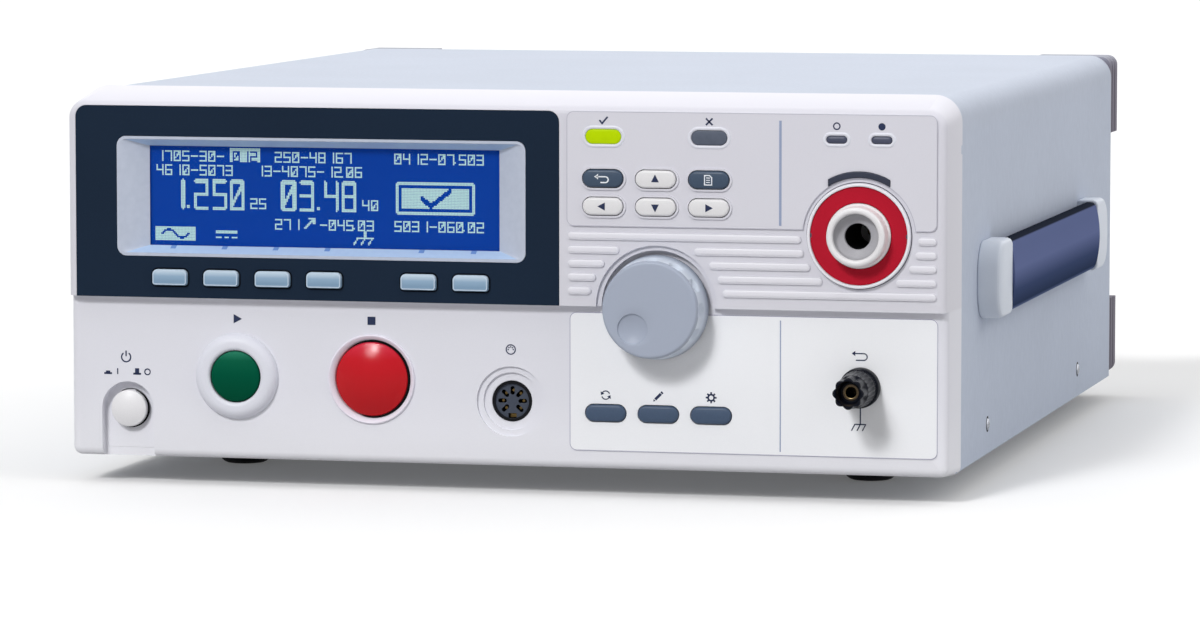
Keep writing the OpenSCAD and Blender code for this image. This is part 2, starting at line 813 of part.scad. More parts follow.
module bezel_cavity() {
    hull() {
        bezel_slice(bezel_wall, panel_w / 2 - bezel_wall, bezel_wall, panel_h - bezel_wall,
            corner_r - bezel_wall, low_corner_r - bezel_wall);
        bezel_slice(bezel_d + cut, rim_half - bezel_wall, bezel_wall - rim_proud,
            cover_h + rim_proud - bezel_wall, cover_r + rim_proud - bezel_wall, low_corner_r - bezel_wall);
    }
    pocket_h = panel_h - lower_h - 2 * bezel_wall;
    at(0, lower_h + bezel_wall + pocket_h / 2)
        slab(upper_back, bezel_wall + cut)
            round_rect(panel_w - 2 * bezel_wall, pocket_h, corner_r - bezel_wall);
    slab(cover_front, bezel_d + cut) cover_outline(fit_gap);
}

module cover_outline(grow) arch_outline(cover_w + 2 * grow, -grow, cover_h + grow, cover_r + grow);

// Places where bosses hold the front board
board_left = -panel_w / 2 + boss_inset;
board_right = key_x[2] + boss_past;
board_low = func_rise - boss_drop;
board_middle = pad_z0 - pad_below;
function board_holes() = [
    [board_left, soft_z], [board_left, lamp_z],
    [board_right, board_middle], [board_right, lamp_z],
    [key_x[0] - boss_side, board_low], [board_right - boss_side / 2, board_low]
];

module bezel_bosses() {
    for (hole = board_holes())
        at(hole[0], hole[1]) rod(boss_r, (hole[1] > lower_h ? upper_back : bezel_wall) - sliver, board_y);
    intersection() {
        at(knob_x, knob_z) rod(arch_r + arch_rim + bezel_wall, upper_y + cut, bezel_wall);
        box(-panel_w, panel_w, -panel_w, panel_w, lower_h, panel_h);
    }
    at(power_x, power_rise) slab(bezel_wall - cut, recess_d + bezel_wall)
        arch_recess(recess_r + bezel_wall, bezel_wall);
    at(remote_x, remote_rise)
        rod(remote_step_r + bezel_wall, bezel_wall - cut, bezel_wall + 2 * remote_step_d);
}

// Round-topped recess, open at the panel's lower edge or stopped above it by a floor
module arch_recess(r, floor_z) {
    circle(r);
    translate([-r, floor_z - power_rise]) square([2 * r, power_rise - floor_z]);
}

// Ends of a rib row that stays clear of a round control
function clear_half(r, dz) = abs(dz) < r ? sqrt(r * r - dz * dz) : 0;

module rib(x0, x1) if (x1 - x0 > rib_w) translate([(x0 + x1) / 2, 0]) pill(x1 - x0, rib_w);

module bezel_ribs() for (i = [0:rib_rows - 1]) {
    z = lower_h + rib_rise + i * rib_pitch;
    knob_half = clear_half(arch_r + arch_rim + rib_clear, z - knob_z);
    hv_half = clear_half(hv_rim_r + rib_clear, z - hv_z);
    starts =
        concat([control_x0], knob_half > 0 ? [knob_x + knob_half] : [], hv_half > 0 ? [hv_x + hv_half] : []);
    ends =
        concat(knob_half > 0 ? [knob_x - knob_half] : [], hv_half > 0 ? [hv_x - hv_half] : [], [control_x1]);
    at(0, z) slab(pad_y, upper_y + cut) for (j = [0:len(starts) - 1]) rib(starts[j], ends[j]);
}

// Raised pad behind the keys and lamps, open round the high voltage socket
module bezel_pad() slab(pad_y, upper_y + cut) difference() {
    translate([(control_x0 + control_x1) / 2, (pad_z0 + panel_h - top_margin) / 2])
        round_rect(control_w, panel_h - top_margin - pad_z0, film_r);
    translate([hv_x, hv_z]) circle(hv_rim_r + pad_clear);
    translate([hv_x, hv_z]) indicator_outline(fit_gap);
}

module nav_rims() for (x = key_x, row = [0, 1])
    at(x, nav_z - row * nav_row_pitch) slab(pad_y - relief_h, pad_y + cut)
        pill(nav_w + 2 * (key_clear + nav_rim), nav_h + 2 * (key_clear + nav_rim));

module bezel_relief() {
    bezel_pad();
    nav_rims();
    bezel_ribs();
    at(hv_x, hv_z) slab(upper_y - hv_ring_t - relief_h, upper_y + cut) ring(hv_ring_r + fit_gap, hv_rim_r);
}

module bezel_cuts() {
    deep = bezel_d;
    at(display_x, display_z) slab(upper_y - cut, upper_y + display_seat) display_outline(fit_gap);
    at(window_x, window_z) slab(upper_y - cut, deep)
        round_rect(window_w + 2 * fit_gap, window_h + 2 * fit_gap, window_r);
    for (x = soft_x) at(x, soft_z) slab(upper_y - cut, deep) soft_outline(key_clear);
    for (x = key_x, row = [0, 1]) at(x, nav_z - row * nav_row_pitch) slab(upper_y - 3 * cut, deep)
        nav_outline(key_clear);
    for (x = key_x) at(x, func_rise) slab(-cut, deep) func_outline(key_clear);
    for (x = [key_x[0], key_x[2]]) at(x, lamp_z) slab(upper_y - 2 * cut, deep)
        pill(lamp_w + 2 * fit_gap, lamp_h + 2 * fit_gap);
    for (side = [-1, 1]) at(hv_x + side * small_lamp_pitch / 2, lamp_z)
        slab(upper_y - 2 * cut, deep) pill(small_lamp_w + 2 * fit_gap, small_lamp_h + 2 * fit_gap);
    at(knob_x, knob_z) {
        rod(arch_r, upper_y - 2 * cut, 0);
        rod(arch_r + arch_rim, upper_y - 2 * cut, upper_y + arch_rim_d);
        rod(bushing_r + fit_gap, -cut, deep);
    }
    for (side = [-1, 1]) translate([side * rim_half, bezel_d, notch_rise])
        cube([2 * (rim_proud - fit_gap), 2 * notch_w, notch_h], center = true);
    at(hv_x, hv_z) rod(hv_neck_r + fit_gap, upper_y - cut, deep);
    at(hv_x, return_rise) rod(post_bush_r + fit_gap, -cut, deep);
    at(start_x, button_rise) rod(start_tube_r() + fit_gap, -cut, deep);
    at(stop_x, button_rise) rod(stop_tube_r() + fit_gap, -cut, deep);
    at(power_x, power_rise) {
        slab(-cut, recess_d) arch_recess(recess_r, -cut);
        rod(power_r + button_clear, 0, deep);
    }
    at(remote_x, remote_rise) {
        rod(remote_step_r, -cut, remote_step_d);
        rod(remote_seat_r, -cut, 2 * remote_step_d);
        rod(remote_r + fit_gap, -cut, deep);
    }
}

module front_bezel() color("#dedde6") place() difference() {
    union() {
        difference() {
            bezel_outer();
            bezel_cavity();
        }
        bezel_bosses();
        bezel_relief();
    }
    bezel_cuts();
}

// Display
module display_outline(grow) {
    w = display_w + 2 * grow;
    translate([0, -display_h / 2]) arch_outline(w, 0, display_h + grow, display_r + grow);
}

module display_panel() color("#1f2b3c") place() difference() {
    at(display_x, display_z) slab(display_y, display_y + display_t) display_outline(0);
    at(window_x, window_z) slab(display_y - cut, upper_y + cut)
        round_rect(window_w + 2 * fit_gap, window_h + 2 * fit_gap, window_r);
    for (x = soft_x) at(x, soft_z) slab(display_y - cut, upper_y + cut) soft_outline(key_clear);
}

module display_frame() color("#cfd9e6") place() at(window_x, window_z) difference() {
    slab(display_y, frame_back) round_rect(window_w, window_h, window_r);
    hull() {
        slab(display_y - sliver, display_y)
            round_rect(window_w - 2 * frame_lip, window_h - 2 * frame_lip, window_r - frame_lip);
        slab(frame_back, frame_back + sliver) square([view_w, view_h], center = true);
    }
}

module display_pane() color("#a9c4e8") place() at(window_x, window_z)
    slab(frame_back, pane_back) square([view_w + 2 * pane_lap, view_h + 2 * pane_lap], center = true);

module lcd_module() color("#0f40a5") place() at(window_x, window_z)
    slab(pane_back, board_y) square([view_w + 2 * lcd_side, view_h + 2 * lcd_lap], center = true);

module label_film() color("#e6e9f0") place() difference() {
    film_h = lower_h - film_top - film_bottom;
    at((control_x0 + control_x1) / 2, film_bottom + film_h / 2) slab(-film_t, 0)
        round_rect(control_w, film_h, film_r);
    for (x = key_x) at(x, func_rise) slab(-cut, cut) func_outline(key_clear);
    at(knob_x, knob_z) rod(bushing_r + fit_gap, -cut, cut);
    at(hv_x, return_rise) rod(post_base_r + fit_gap, -cut, cut);
}

// Lamps
module lamp(w, h) {
    slab(pad_y - lamp_proud, upper_back + lamp_back) pill(w, h);
    slab(upper_back, upper_back + lamp_back) pill(w + 2 * lamp_flange, h + 2 * lamp_flange);
}

module pass_lamp() color("#b5d600") place() at(key_x[0], lamp_z) lamp(lamp_w, lamp_h);

module status_lamps() color("#6b7482") place() {
    at(key_x[2], lamp_z) lamp(lamp_w, lamp_h);
    for (side = [-1, 1]) at(hv_x + side * small_lamp_pitch / 2, lamp_z) lamp(small_lamp_w, small_lamp_h);
}

// High voltage socket
module hv_ring() color("#b01c30") place() at(hv_x, hv_z)
    slab(upper_y - hv_ring_t, upper_y) ring(collar_r + fit_gap, hv_ring_r);

module hv_collar() color("#e4e2e0") place() at(hv_x, hv_z) {
    front = upper_y - collar_reach;
    lip = collar_lip;
    mouth = front + collar_mouth_d;
    back = upper_y + hv_neck;
    turned() polygon(concat(
        [[hv_bore_r, mouth], [collar_mouth_r - lip, front + lip]],
        arc(collar_mouth_r + lip / 4, front + lip, lip, 180, 270, 3),
        arc(collar_face_r - lip, front + lip, lip, 270, 360, 4),
        [[collar_face_r + lip / 4, upper_y - 2 * hv_ring_t], [collar_r, upper_y - hv_ring_t],
            [collar_r, upper_y], [hv_neck_r, upper_y], [hv_neck_r, back], [contact_r + fit_gap, back],
            [contact_r + fit_gap, back - hv_end], [hv_bore_r, back - hv_end]]
    ));
}

module hv_contact() color("#c9a84a") place() at(hv_x, hv_z) {
    back = upper_y + hv_neck;
    rod(contact_r, back - hv_end, back + contact_tail);
    rod(hv_bore_r, back, back + contact_lug);
}

// Arc above the socket's ring, cut straight at both ends
module indicator_outline(grow) intersection() {
    ring(indicator_r - grow, indicator_r + indicator_h + grow);
    translate([-indicator_w / 2 - grow, 0]) square([indicator_w + 2 * grow, 2 * indicator_r]);
}

module hv_indicator() color("#3a4152") place() at(hv_x, hv_z)
    slab(upper_y - 2 * relief_h, upper_y) indicator_outline(0);

// Remote socket
function remote_angle(i) = 90 + (i - (remote_pins - 1) / 2) * remote_pin_turn;
remote_face = 2 * remote_step_d - film_t;
remote_back = remote_len - remote_floor;

module remote_places() for (i = [0:remote_pins - 1])
    rotate([0, -remote_angle(i), 0]) at(remote_pin_at, 0) children();

// Key slot at the foot of the insert
module remote_key(grow) translate([0, remote_shell + remote_key_h / 2 - remote_r])
    square([remote_key_w + 2 * grow, remote_key_h + 2 * grow], center = true);

module remote_socket() color("#20252e") place() at(remote_x, remote_rise) difference() {
    wall_back = bezel_wall + 2 * remote_step_d;
    union() {
        rod(remote_r, remote_face, remote_len);
        rod(remote_r + bezel_wall, wall_back, wall_back + remote_flange);
    }
    rod(remote_r - remote_shell, remote_face - cut, remote_face + remote_sink);
    remote_places() slab(remote_face, remote_back) pill(remote_slot, 3 * remote_pin_r);
    slab(remote_face, remote_face + remote_key_d) remote_key(0);
}

module remote_contacts() color("#c9a84a") place() at(remote_x, remote_rise) {
    remote_places() rod(remote_pin_r, remote_face + remote_pin_in, remote_back);
    slab(remote_face + remote_pin_in, remote_face + remote_key_d) remote_key(-part_gap);
}

// Return terminal
module return_base() color("#1b1d22") place() at(hv_x, return_rise) difference() {
    union() {
        crowned(-post_base_t, 0, post_edge) circle(post_base_r);
        rod(post_bush_r, -sliver, bezel_wall);
        rod(post_nut_r, bezel_wall, bezel_wall + post_nut_t);
    }
    rod(stud_r + run_clear, -post_base_t - cut, bezel_wall + post_nut_t + cut);
}

module return_stud() color("#d0b060") place() at(hv_x, return_rise) difference() {
    front = cap_recess - post_reach;
    union() {
        rod(stud_r, front, bezel_wall + 3 * post_nut_t);
        rod(stud_nut_r, bezel_wall + post_nut_t, bezel_wall + 2 * post_nut_t);
    }
    rod(stud_bore_r, front - cut, front + stud_bore_d);
}

washer_y = -post_base_t - part_gap - washer_t;

module return_washer() color("#2a2d34") place() at(hv_x, return_rise)
    slab(washer_y, washer_y + washer_t) ring(stud_r + run_clear, cap_back_r);

module return_cap() color("#16181c") place() at(hv_x, return_rise) difference() {
    back = washer_y - part_gap;
    grip_back = cap_grip - post_reach;
    union() {
        crowned(-post_reach, grip_back, post_edge) circle(cap_r);
        turned() polygon([
            [0, grip_back - sliver], [cap_waist_r, grip_back - sliver], [cap_back_r, back], [0, back]
        ]);
    }
    for (i = [0:cap_lobes - 1]) rotate([0, i * 360 / cap_lobes, 0]) at(cap_r + flute_r - flute_d, 0)
        rod(flute_r, -post_reach - cut, grip_back - sliver);
    rod(stud_r + run_clear, -post_reach - cut, cut);
    rod(cap_mouth_r, -post_reach - cut, cap_recess - post_reach);
}

// Push buttons
function start_tube_r() = start_r + button_clear + tube_wall;
function stop_tube_r() = stop_r + button_clear + tube_wall;

// Tube behind a push button, closed at its back
function tube_profile(r) = [
    [r + button_clear + tube_wall, 0], [r + button_clear + tube_wall, tube_len + tube_wall],
    [0, tube_len + tube_wall], [0, tube_len], [r + button_clear, tube_len]
];

module button_rings() color("#e6e6ec") place() {
    at(start_x, button_rise) turned() polygon(concat(
        tube_profile(start_r),
        [[start_r + button_clear, button_clear - start_ring_h]],
        arc(start_r + 2 * button_clear + start_lip, start_lip - start_ring_h, start_lip, 225, 270, 3),
        arc(start_ring_r - start_ring_h, 0, start_ring_h, 270, 360, 6)
    ));
    at(stop_x, button_rise) turned() polygon(concat(
        tube_profile(stop_r),
        [[stop_r + button_clear, stop_ring_h], [stop_r + stop_ring_w - stop_ring_edge, -stop_ring_h],
            [stop_r + stop_ring_w, 0]]
    ));
}

// Push button with a shallow dome, its rim at y0
dome_steps = 8;
module domed_button(r, y0, dome, back) {
    dome_r = (r * r + dome * dome) / (2 * dome);
    turned() polygon(concat(
        [[0, back], [r, back]],
        [for (i = [dome_steps:-1:0]) let (x = r * i / dome_steps)
            [x, y0 + dome_r - dome - sqrt(dome_r * dome_r - x * x)]]
    ));
}

button_back = tube_len - button_travel - button_spare;

module start_button() color("#00543a") place() at(start_x, button_rise)
    domed_button(start_r, start_sink - start_ring_h, start_dome, button_back);

module stop_button() color("#b8202e") place() at(stop_x, button_rise)
    domed_button(stop_r, stop_sink, stop_dome, button_back);

power_seat = recess_d + bezel_wall;
power_switch_y = power_seat + key_play + key_flange_t + power_travel + button_spare;

module power_button() color("#e4e3e8") place() at(power_x, power_rise) {
    domed_button(power_r, power_sink, power_dome, power_seat + key_play + key_flange_t);
    rod(power_r + button_clear + key_flange, power_seat + key_play, power_seat + key_play + key_flange_t);
    rod(stem_r, power_seat, power_switch_y - power_travel - key_play);
}

module power_switch() color("#3b3f46") place() at(power_x, power_rise) {
    post_at = power_r + 2 * button_clear + key_flange + stem_r;
    plate_back = power_switch_y + power_plate;
    for (side = [-1, 1]) at(side * post_at, 0) rod(stem_r, power_seat, power_switch_y + sliver);
    slab(power_switch_y, plate_back) square([2 * (post_at + stem_r), power_body], center = true);
    slab(plate_back - sliver, plate_back + power_body) square(power_body, center = true);
}

// Keys
module soft_outline(grow) round_rect(soft_w + 2 * grow, soft_h + 2 * grow, soft_r + grow);
module nav_outline(grow) pill(nav_w + 2 * grow, nav_h + 2 * grow);
module func_outline(grow) pill(func_w + 2 * grow, func_h + 2 * grow);

// Key from its front face to its stem, with a flange behind the wall at seat_y
module key(front_y, seat_y, w, h) {
    flange_y = seat_y + key_play;
    crowned(front_y, flange_y, key_crown) children();
    slab(flange_y, flange_y + key_flange_t)
        square([w + 2 * (key_clear + key_flange), h + 2 * (key_clear + key_flange)], center = true);
    rod(stem_r, flange_y, stem_end);
}

module soft_key(i) color("#a9c1d6") place() at(soft_x[i], soft_z)
    key(display_y - soft_proud, upper_back, soft_w, soft_h) soft_outline(0);

module nav_key(column, row, shade) color(shade) place() at(key_x[column], nav_z - row * nav_row_pitch)
    key(pad_y - nav_proud, upper_back, nav_w, nav_h) nav_outline(0);

module func_key(column) color("#5b6b86") place() at(key_x[column], func_rise)
    key(-film_t - func_proud, bezel_wall, func_w, func_h) func_outline(0);

module soft_key_1() soft_key(0);
module soft_key_2() soft_key(1);
module soft_key_3() soft_key(2);
module soft_key_4() soft_key(3);
module soft_key_5() soft_key(4);
module soft_key_6() soft_key(5);
module back_key() nav_key(0, 0, "#45566b");
module up_key() nav_key(1, 0, "#e9e8ea");
module page_key() nav_key(2, 0, "#45566b");
module left_key() nav_key(0, 1, "#e9e8ea");
module down_key() nav_key(1, 1, "#e9e8ea");
module right_key() nav_key(2, 1, "#e9e8ea");
module mode_key() func_key(0);
module edit_key() func_key(1);
module setup_key() func_key(2);

// Knob and encoder
knob_back = -film_t - knob_gap;

module knob() color("#a3adbd") place() at(knob_x, knob_z) difference() {
    front = -knob_reach;
    core_r = shaft_r + knob_wall;
    bowl_d = dimple_d - dimple_wall;
    ball_r = (dimple_r * dimple_r + bowl_d * bowl_d) / (2 * bowl_d);
    turned() polygon(concat(
        [[0, front]],
        arc(knob_face_r - knob_edge, front + knob_edge, knob_edge, 270, 350, 6),
        arc(knob_r - knob_gap, knob_back - knob_gap, knob_gap, 10, 90, 4),
        [[knob_r - knob_wall, knob_back], [knob_face_r - knob_wall, front + 2 * knob_wall],
            [core_r, front + 2 * knob_wall], [core_r, knob_back - knob_wall], [0, knob_back - knob_wall]]
    ));
    for (i = [0:scallops - 1]) rotate([0, i * 360 / scallops, 0])
        at(knob_face_r + scallop_r - scallop_d, 0) rod(scallop_r, front - cut, front + knob_reach / 2);
    at(-dimple_at * cos(dimple_turn), -dimple_at * sin(dimple_turn)) turned() polygon(concat(
        [[0, front - cut], [dimple_r, front - cut]],
        arc(0, front + dimple_d - ball_r, ball_r, asin(1 - bowl_d / ball_r), 90, dimple_steps)
    ));
    rod(shaft_r + run_clear, front + 2 * knob_wall, cut);
}

module encoder_shaft() color("#b9bcc2") place() at(knob_x, knob_z)
    rod(shaft_r, 2 * knob_wall - knob_reach + part_gap, board_y - part_gap);

module encoder() color("#5d6168") place() at(knob_x, knob_z) difference() {
    union() {
        slab(bezel_wall, board_y) square(encoder_w, center = true);
        rod(bushing_r, knob_back + knob_gap / 2, bezel_wall + sliver);
    }
    rod(shaft_r + run_clear, -knob_reach, board_y + cut);
}

// Boards behind the panel
module front_board() color("#2f6b46") place() slab(board_y, board_y + board_t) {
    margin = 1.5 * boss_r;
    left = board_left - margin;
    right = board_right + margin;
    neck = key_x[0] - boss_side - margin;
    translate([left, soft_z - margin]) square([right - left, lamp_z - soft_z + 2 * margin]);
    translate([neck, board_low - margin]) square([right - neck, board_middle - board_low]);
}

module key_switches() color("#2b2e33") place() slab(switch_y, board_y) {
    for (x = soft_x) translate([x, soft_z]) square(switch_w, center = true);
    for (x = key_x, row = [0, 1]) translate([x, nav_z - row * nav_row_pitch]) square(switch_w, center = true);
    for (x = key_x) translate([x, func_rise]) square(switch_w, center = true);
}

// Strap handle, drawn in (y, z) on the cover's right side
strap_z = strap_rise + end_cap_h / 2;
strap_back = strap_front + strap_len;
strap_y = (strap_front + strap_back) / 2;
tongue_x = side_x + strap_space + tongue_in;

module both_ends() {
    children();
    translate([0, 2 * strap_y, 0]) mirror([0, 1, 0]) children();
}

// Outline of an end cap in (y, z): round at its outer end, straight at the strap
module end_cap_outline(inset) {
    for (side = [-1, 1]) translate([end_cap_r, side * (end_cap_h / 2 - end_cap_r)]) circle(end_cap_r - inset);
    translate([inset, end_cap_r - end_cap_h / 2]) square([end_cap_len - inset, end_cap_h - 2 * end_cap_r]);
    translate([end_cap_r, inset - end_cap_h / 2]) square([end_cap_len - end_cap_r, end_cap_h - 2 * inset]);
}

module strap_caps() color("#c3cbda") place() both_ends() difference() {
    hull() for (i = [0:edge_steps]) {
        inset = end_cap_edge * (1 - sin(edge_turn(i)));
        top = side_x + end_cap_reach - end_cap_edge * (1 - cos(edge_turn(i)));
        translate([0, strap_front, strap_z]) side_slab(side_x, top) end_cap_outline(inset);
    }
    slot_y = strap_front + end_cap_len - tongue_len - part_gap;
    box(tongue_x - part_gap, tongue_x + tongue_t + part_gap, slot_y, strap_front + end_cap_len + cut,
        strap_z - tongue_h / 2 - part_gap, strap_z + tongue_h / 2 + part_gap);
}

// Strap's cross-section: flat inside, crowned outside
module strap_section(y0, y1) translate([side_x, 0, strap_z]) slab(y0, y1) {
    bow_r = (strap_h * strap_h / 4 + strap_crown * strap_crown) / (2 * strap_crown);
    intersection() {
        translate([strap_reach - bow_r, 0]) circle(bow_r, $fn = 96);
        translate([strap_space, -strap_h / 2]) square([strap_reach, strap_h]);
    }
}

module strap_grip() color("#2f3b55") place() strap_section(strap_y - strap_mid / 2, strap_y + strap_mid / 2);

module strap_ends() color("#2f3b55") place() both_ends() {
    start = strap_front + end_cap_len + part_gap;
    strap_section(start, strap_y - strap_mid / 2 - fit_gap);
    box(tongue_x, tongue_x + tongue_t, start - tongue_len, start + cut,
        strap_z - tongue_h / 2, strap_z + tongue_h / 2);
}

// Housing
module side_screw_places() for (side = [-1, 1], y = [screw_front, screw_front + screw_pitch])
    translate([side * side_x, y, screw_rise]) rotate([0, side * 90, 0]) children();

module side_screw_holes() side_screw_places()
    cylinder(r = screw_r + fit_gap, h = 4 * screw_len, center = true);

module top_cover() color("#b4bccd") place() difference() {
    slab(cover_front, cover_back) cover_outline(0);
    slab(cover_front - cut, cover_back + cut)
        arch_outline(tray_w, -cut, cover_h - sheet_t, cover_r - sheet_t);
    side_screw_holes();
}

main_x = -tray_w / 2 + main_side + main_w / 2;
function main_posts() = [for (sx = [-1, 1], sy = [-1, 1])
    [main_x + sx * (main_w / 2 - main_hole_in), main_front + main_d / 2 + sy * (main_d / 2 - main_hole_in)]];

module chassis_tray() color("#9aa2b0") place() {
    difference() {
        slab(cover_front, rear_y) difference() {
            translate([-tray_w / 2, 0]) square([tray_w, flange_h]);
            translate([sheet_t - tray_w / 2, sheet_t]) square([tray_w - 2 * sheet_t, flange_h]);
        }
        side_screw_holes();
    }
    for (spot = main_posts()) translate([spot[0], spot[1], sheet_t - sliver])
        cylinder(r = boss_r, h = post_h + sliver);
}

module grille() for (i = [1:grille_rings]) {
    r = i * (fan_w / 2 - fan_wall - blade_gap) / grille_rings;
    difference() {
        ring(r - grille_slot, r);
        for (a = [45, 135]) rotate(a) square([fan_w, grille_spoke], center = true);
    }
}

function fan_screws() = [for (sx = [-1, 1], sz = [-1, 1]) [sx, sz] * (fan_w / 2 - fan_hole_in)];

module rear_panel() color("#a8aebb") place() slab(rear_y, rear_y + sheet_t) difference() {
    arch_outline(tray_w - 2 * fit_gap, 0, cover_h - sheet_t - fit_gap, cover_r - sheet_t - fit_gap);
    translate([fan_x, fan_z]) grille();
    translate([fan_x, fan_z]) for (spot = fan_screws()) translate(spot) circle(screw_r + fit_gap);
    translate([inlet_x, inlet_z]) square([inlet_w + 2 * fit_gap, inlet_h + 2 * fit_gap], center = true);
    for (i = [0:ports - 1]) translate([port_x + i * port_pitch, port_z])
        square([port_w + 2 * fit_gap, port_h + 2 * fit_gap], center = true);
}

// Corner guard: an L with a round outer corner, grooved round its depth
module guard_outline(inset) {
    r = guard_r - inset;
    difference() {
        translate([r, r]) {
            circle(r);
            translate([-r, 0]) square([guard_leg - inset, guard_leg - r - inset]);
            translate([0, -r]) square([guard_leg - r - inset, guard_leg - inset]);
        }
        translate([guard_t - 2 * inset, guard_t - 2 * inset]) square(guard_leg);
    }
}

module guard() {
    third = guard_d / 3;
    for (i = [0:2]) slab(cover_back + i * third, cover_back + (i + 1) * third - (i < 2 ? guard_groove : 0))
        guard_outline(0);
    slab(cover_back, cover_back + guard_d - third / 2) translate([guard_groove, guard_groove])
        guard_outline(guard_groove);
    at(guard_pin_in, guard_t / 2) rod(guard_pin_r, rear_y + sheet_t, cover_back + third);
}

module rear_guards() color("#7d7f8e") place() for (side = [-1, 1], up = [0, 1])
    translate([side * (side_x - guard_inset), 0, up ? cover_h - guard_inset : guard_inset])
        mirror([side > 0 ? 1 : 0, 0, 0]) mirror([0, 0, up]) guard();

module feet() color("#17181c") place() for (side = [-1, 1], y = [foot_front, foot_front + foot_pitch])
    translate([side * (side_x - foot_inset), y, 0]) rotate_extrude() polygon(concat(
        [[0, 0], [foot_r, 0]],
        arc(foot_low_r, foot_r - foot_low_r - foot_h, foot_r - foot_low_r, 0, -90, 6),
        [[0, -foot_h]]
    ));

module screw() {
    cylinder(r1 = screw_head_r, r2 = screw_top_r, h = screw_head_h);
    translate([0, 0, -screw_len]) cylinder(r = screw_r, h = screw_len + sliver);
}

module housing_screws() color("#b8bbc2") place() {
    side_screw_places() screw();
    for (spot = fan_screws()) at(fan_x + spot[0], fan_z + spot[1])
        translate([0, rear_y + sheet_t, 0]) rotate([-90, 0, 0]) screw();
}

// Fan
module fan_frame() color("#1d1f24") place() at(fan_x, fan_z) {
    bore_r = fan_w / 2 - fan_wall;
    slab(rear_y - fan_d, rear_y) difference() {
        round_rect(fan_w, fan_w, fan_r);
        circle(bore_r);
        for (spot = fan_screws()) translate(spot) circle(screw_r + fit_gap);
    }
    slab(rear_y - fan_d, rear_y - fan_d + fan_plate) difference() {
        union() {
            circle(hub_r);
            for (a = [0, 90]) rotate(a) square([2 * bore_r + fan_wall, fan_strut], center = true);
        }
        circle(fan_shaft_r + run_clear);
    }
}

module fan_rotor() color("#2a2d33") place() at(fan_x, fan_z) {
    blade_r = fan_w / 2 - fan_wall - blade_gap;
    front = rear_y - fan_d + fan_plate + part_gap;
    back = rear_y - fan_rear_gap;
    rod(hub_r, front, back);
    rod(fan_shaft_r, rear_y - fan_d + part_gap, front + sliver);
    intersection() {
        slab(front, back) ring(hub_r - blade_t, blade_r);
        for (i = [0:blades - 1]) rotate([0, i * 360 / blades, 0])
            translate([(hub_r + blade_r) / 2, (front + back) / 2, 0])
                rotate([blade_pitch, 0, 0])
                    cube([blade_r - hub_r + 4 * blade_t, blade_t, fan_d * 2], center = true);
    }
}

// Mains inlet and fuse drawer
plug_z = inlet_z + inlet_h / 2 - plug_h / 2 - inlet_rib;
drawer_z = plug_z - plug_h / 2 - drawer_h / 2 - inlet_rib;
inlet_face = rear_y + sheet_t + inlet_lip;

module mains_inlet() color("#1b1d22") place() difference() {
    union() {
        at(inlet_x, inlet_z) slab(inlet_face - inlet_d, rear_y + sheet_t)
            square([inlet_w, inlet_h], center = true);
        at(inlet_x, inlet_z) slab(rear_y + sheet_t, inlet_face)
            round_rect(inlet_w + 2 * inlet_flange, inlet_h + 2 * inlet_flange, inlet_r);
    }
    at(inlet_x, plug_z) slab(inlet_face - plug_d, inlet_face + cut) round_rect(plug_w, plug_h, inlet_rib);
    at(inlet_x, drawer_z) slab(inlet_face - drawer_d - part_gap, inlet_face + cut)
        square([plug_w + 2 * part_gap, drawer_h + 2 * part_gap], center = true);
    inlet_blades(fit_gap);
}

// Three blades rooted in the socket's floor, the middle one higher
module inlet_blades(grow) for (i = [-1:1])
    at(inlet_x + i * plug_blade_x, plug_z + (i == 0 ? plug_blade_z : -plug_blade_z))
        slab(inlet_face - plug_d - inlet_rib, inlet_face - plug_d + plug_blade)
            square([plug_blade_t + 2 * grow, plug_blade_w + 2 * grow], center = true);

module fuse_drawer() color("#26282e") place() at(inlet_x, drawer_z) difference() {
    slab(inlet_face - drawer_d, inlet_face + drawer_proud) square([plug_w, drawer_h], center = true);
    for (side = [-1, 1]) at(side * plug_w / 4, 0)
        slab(inlet_face - drawer_d + fuse_end, inlet_face + drawer_proud - fuse_end)
            square([fuse_w, drawer_h + cut], center = true);
}

module rear_contacts() color("#c4c6cb") place() {
    inner_w = port_w - 2 * port_shell;
    inner_h = port_h - 2 * port_shell;
    inlet_blades(0);
    for (i = [0:ports - 1]) at(port_x + i * port_pitch, port_z) {
        slab(rear_y - port_back, rear_y + sheet_t + port_reach) difference() {
            round_rect(port_w, port_h, port_r);
            round_rect(inner_w, inner_h, port_r - port_shell);
        }
        slab(rear_y - port_back, rear_y + sheet_t) square([inner_w, inner_h], center = true);
        slab(rear_y - port_plate, rear_y) square([port_w + 2 * port_ear, port_h + port_plate], center = true);
    }
}

// Inside the housing
module main_board() color("#2c5f3f") place()
    translate([main_x - main_w / 2, main_front, sheet_t + post_h]) cube([main_w, main_d, board_t]);

module transformer_core() color("#6d6f74") place() at(core_x(), sheet_t + core_h / 2)
    slab(core_front, core_front + core_d) difference() {
    square([core_w, core_h], center = true);
    for (side = [-1, 1]) translate([side * core_window_x(), 0])
        square([core_window(), core_h - 2 * core_leg], center = true);
}

function core_x() = tray_w / 2 - core_side - core_w / 2;
function core_window() = (core_w - 4 * core_leg) / 2;
function core_window_x() = core_leg + core_window() / 2;

module transformer_coil() color("#b06a3a") place() at(core_x(), sheet_t + core_h / 2) difference() {
    slab(core_front - coil_past, core_front + core_d + coil_past)
        square(2 * [core_leg + core_window() - part_gap, core_h / 2 - core_leg - part_gap], center = true);
    box(-core_leg - part_gap, core_leg + part_gap, core_front - part_gap, core_front + core_d + part_gap,
        -core_h, core_h);
}

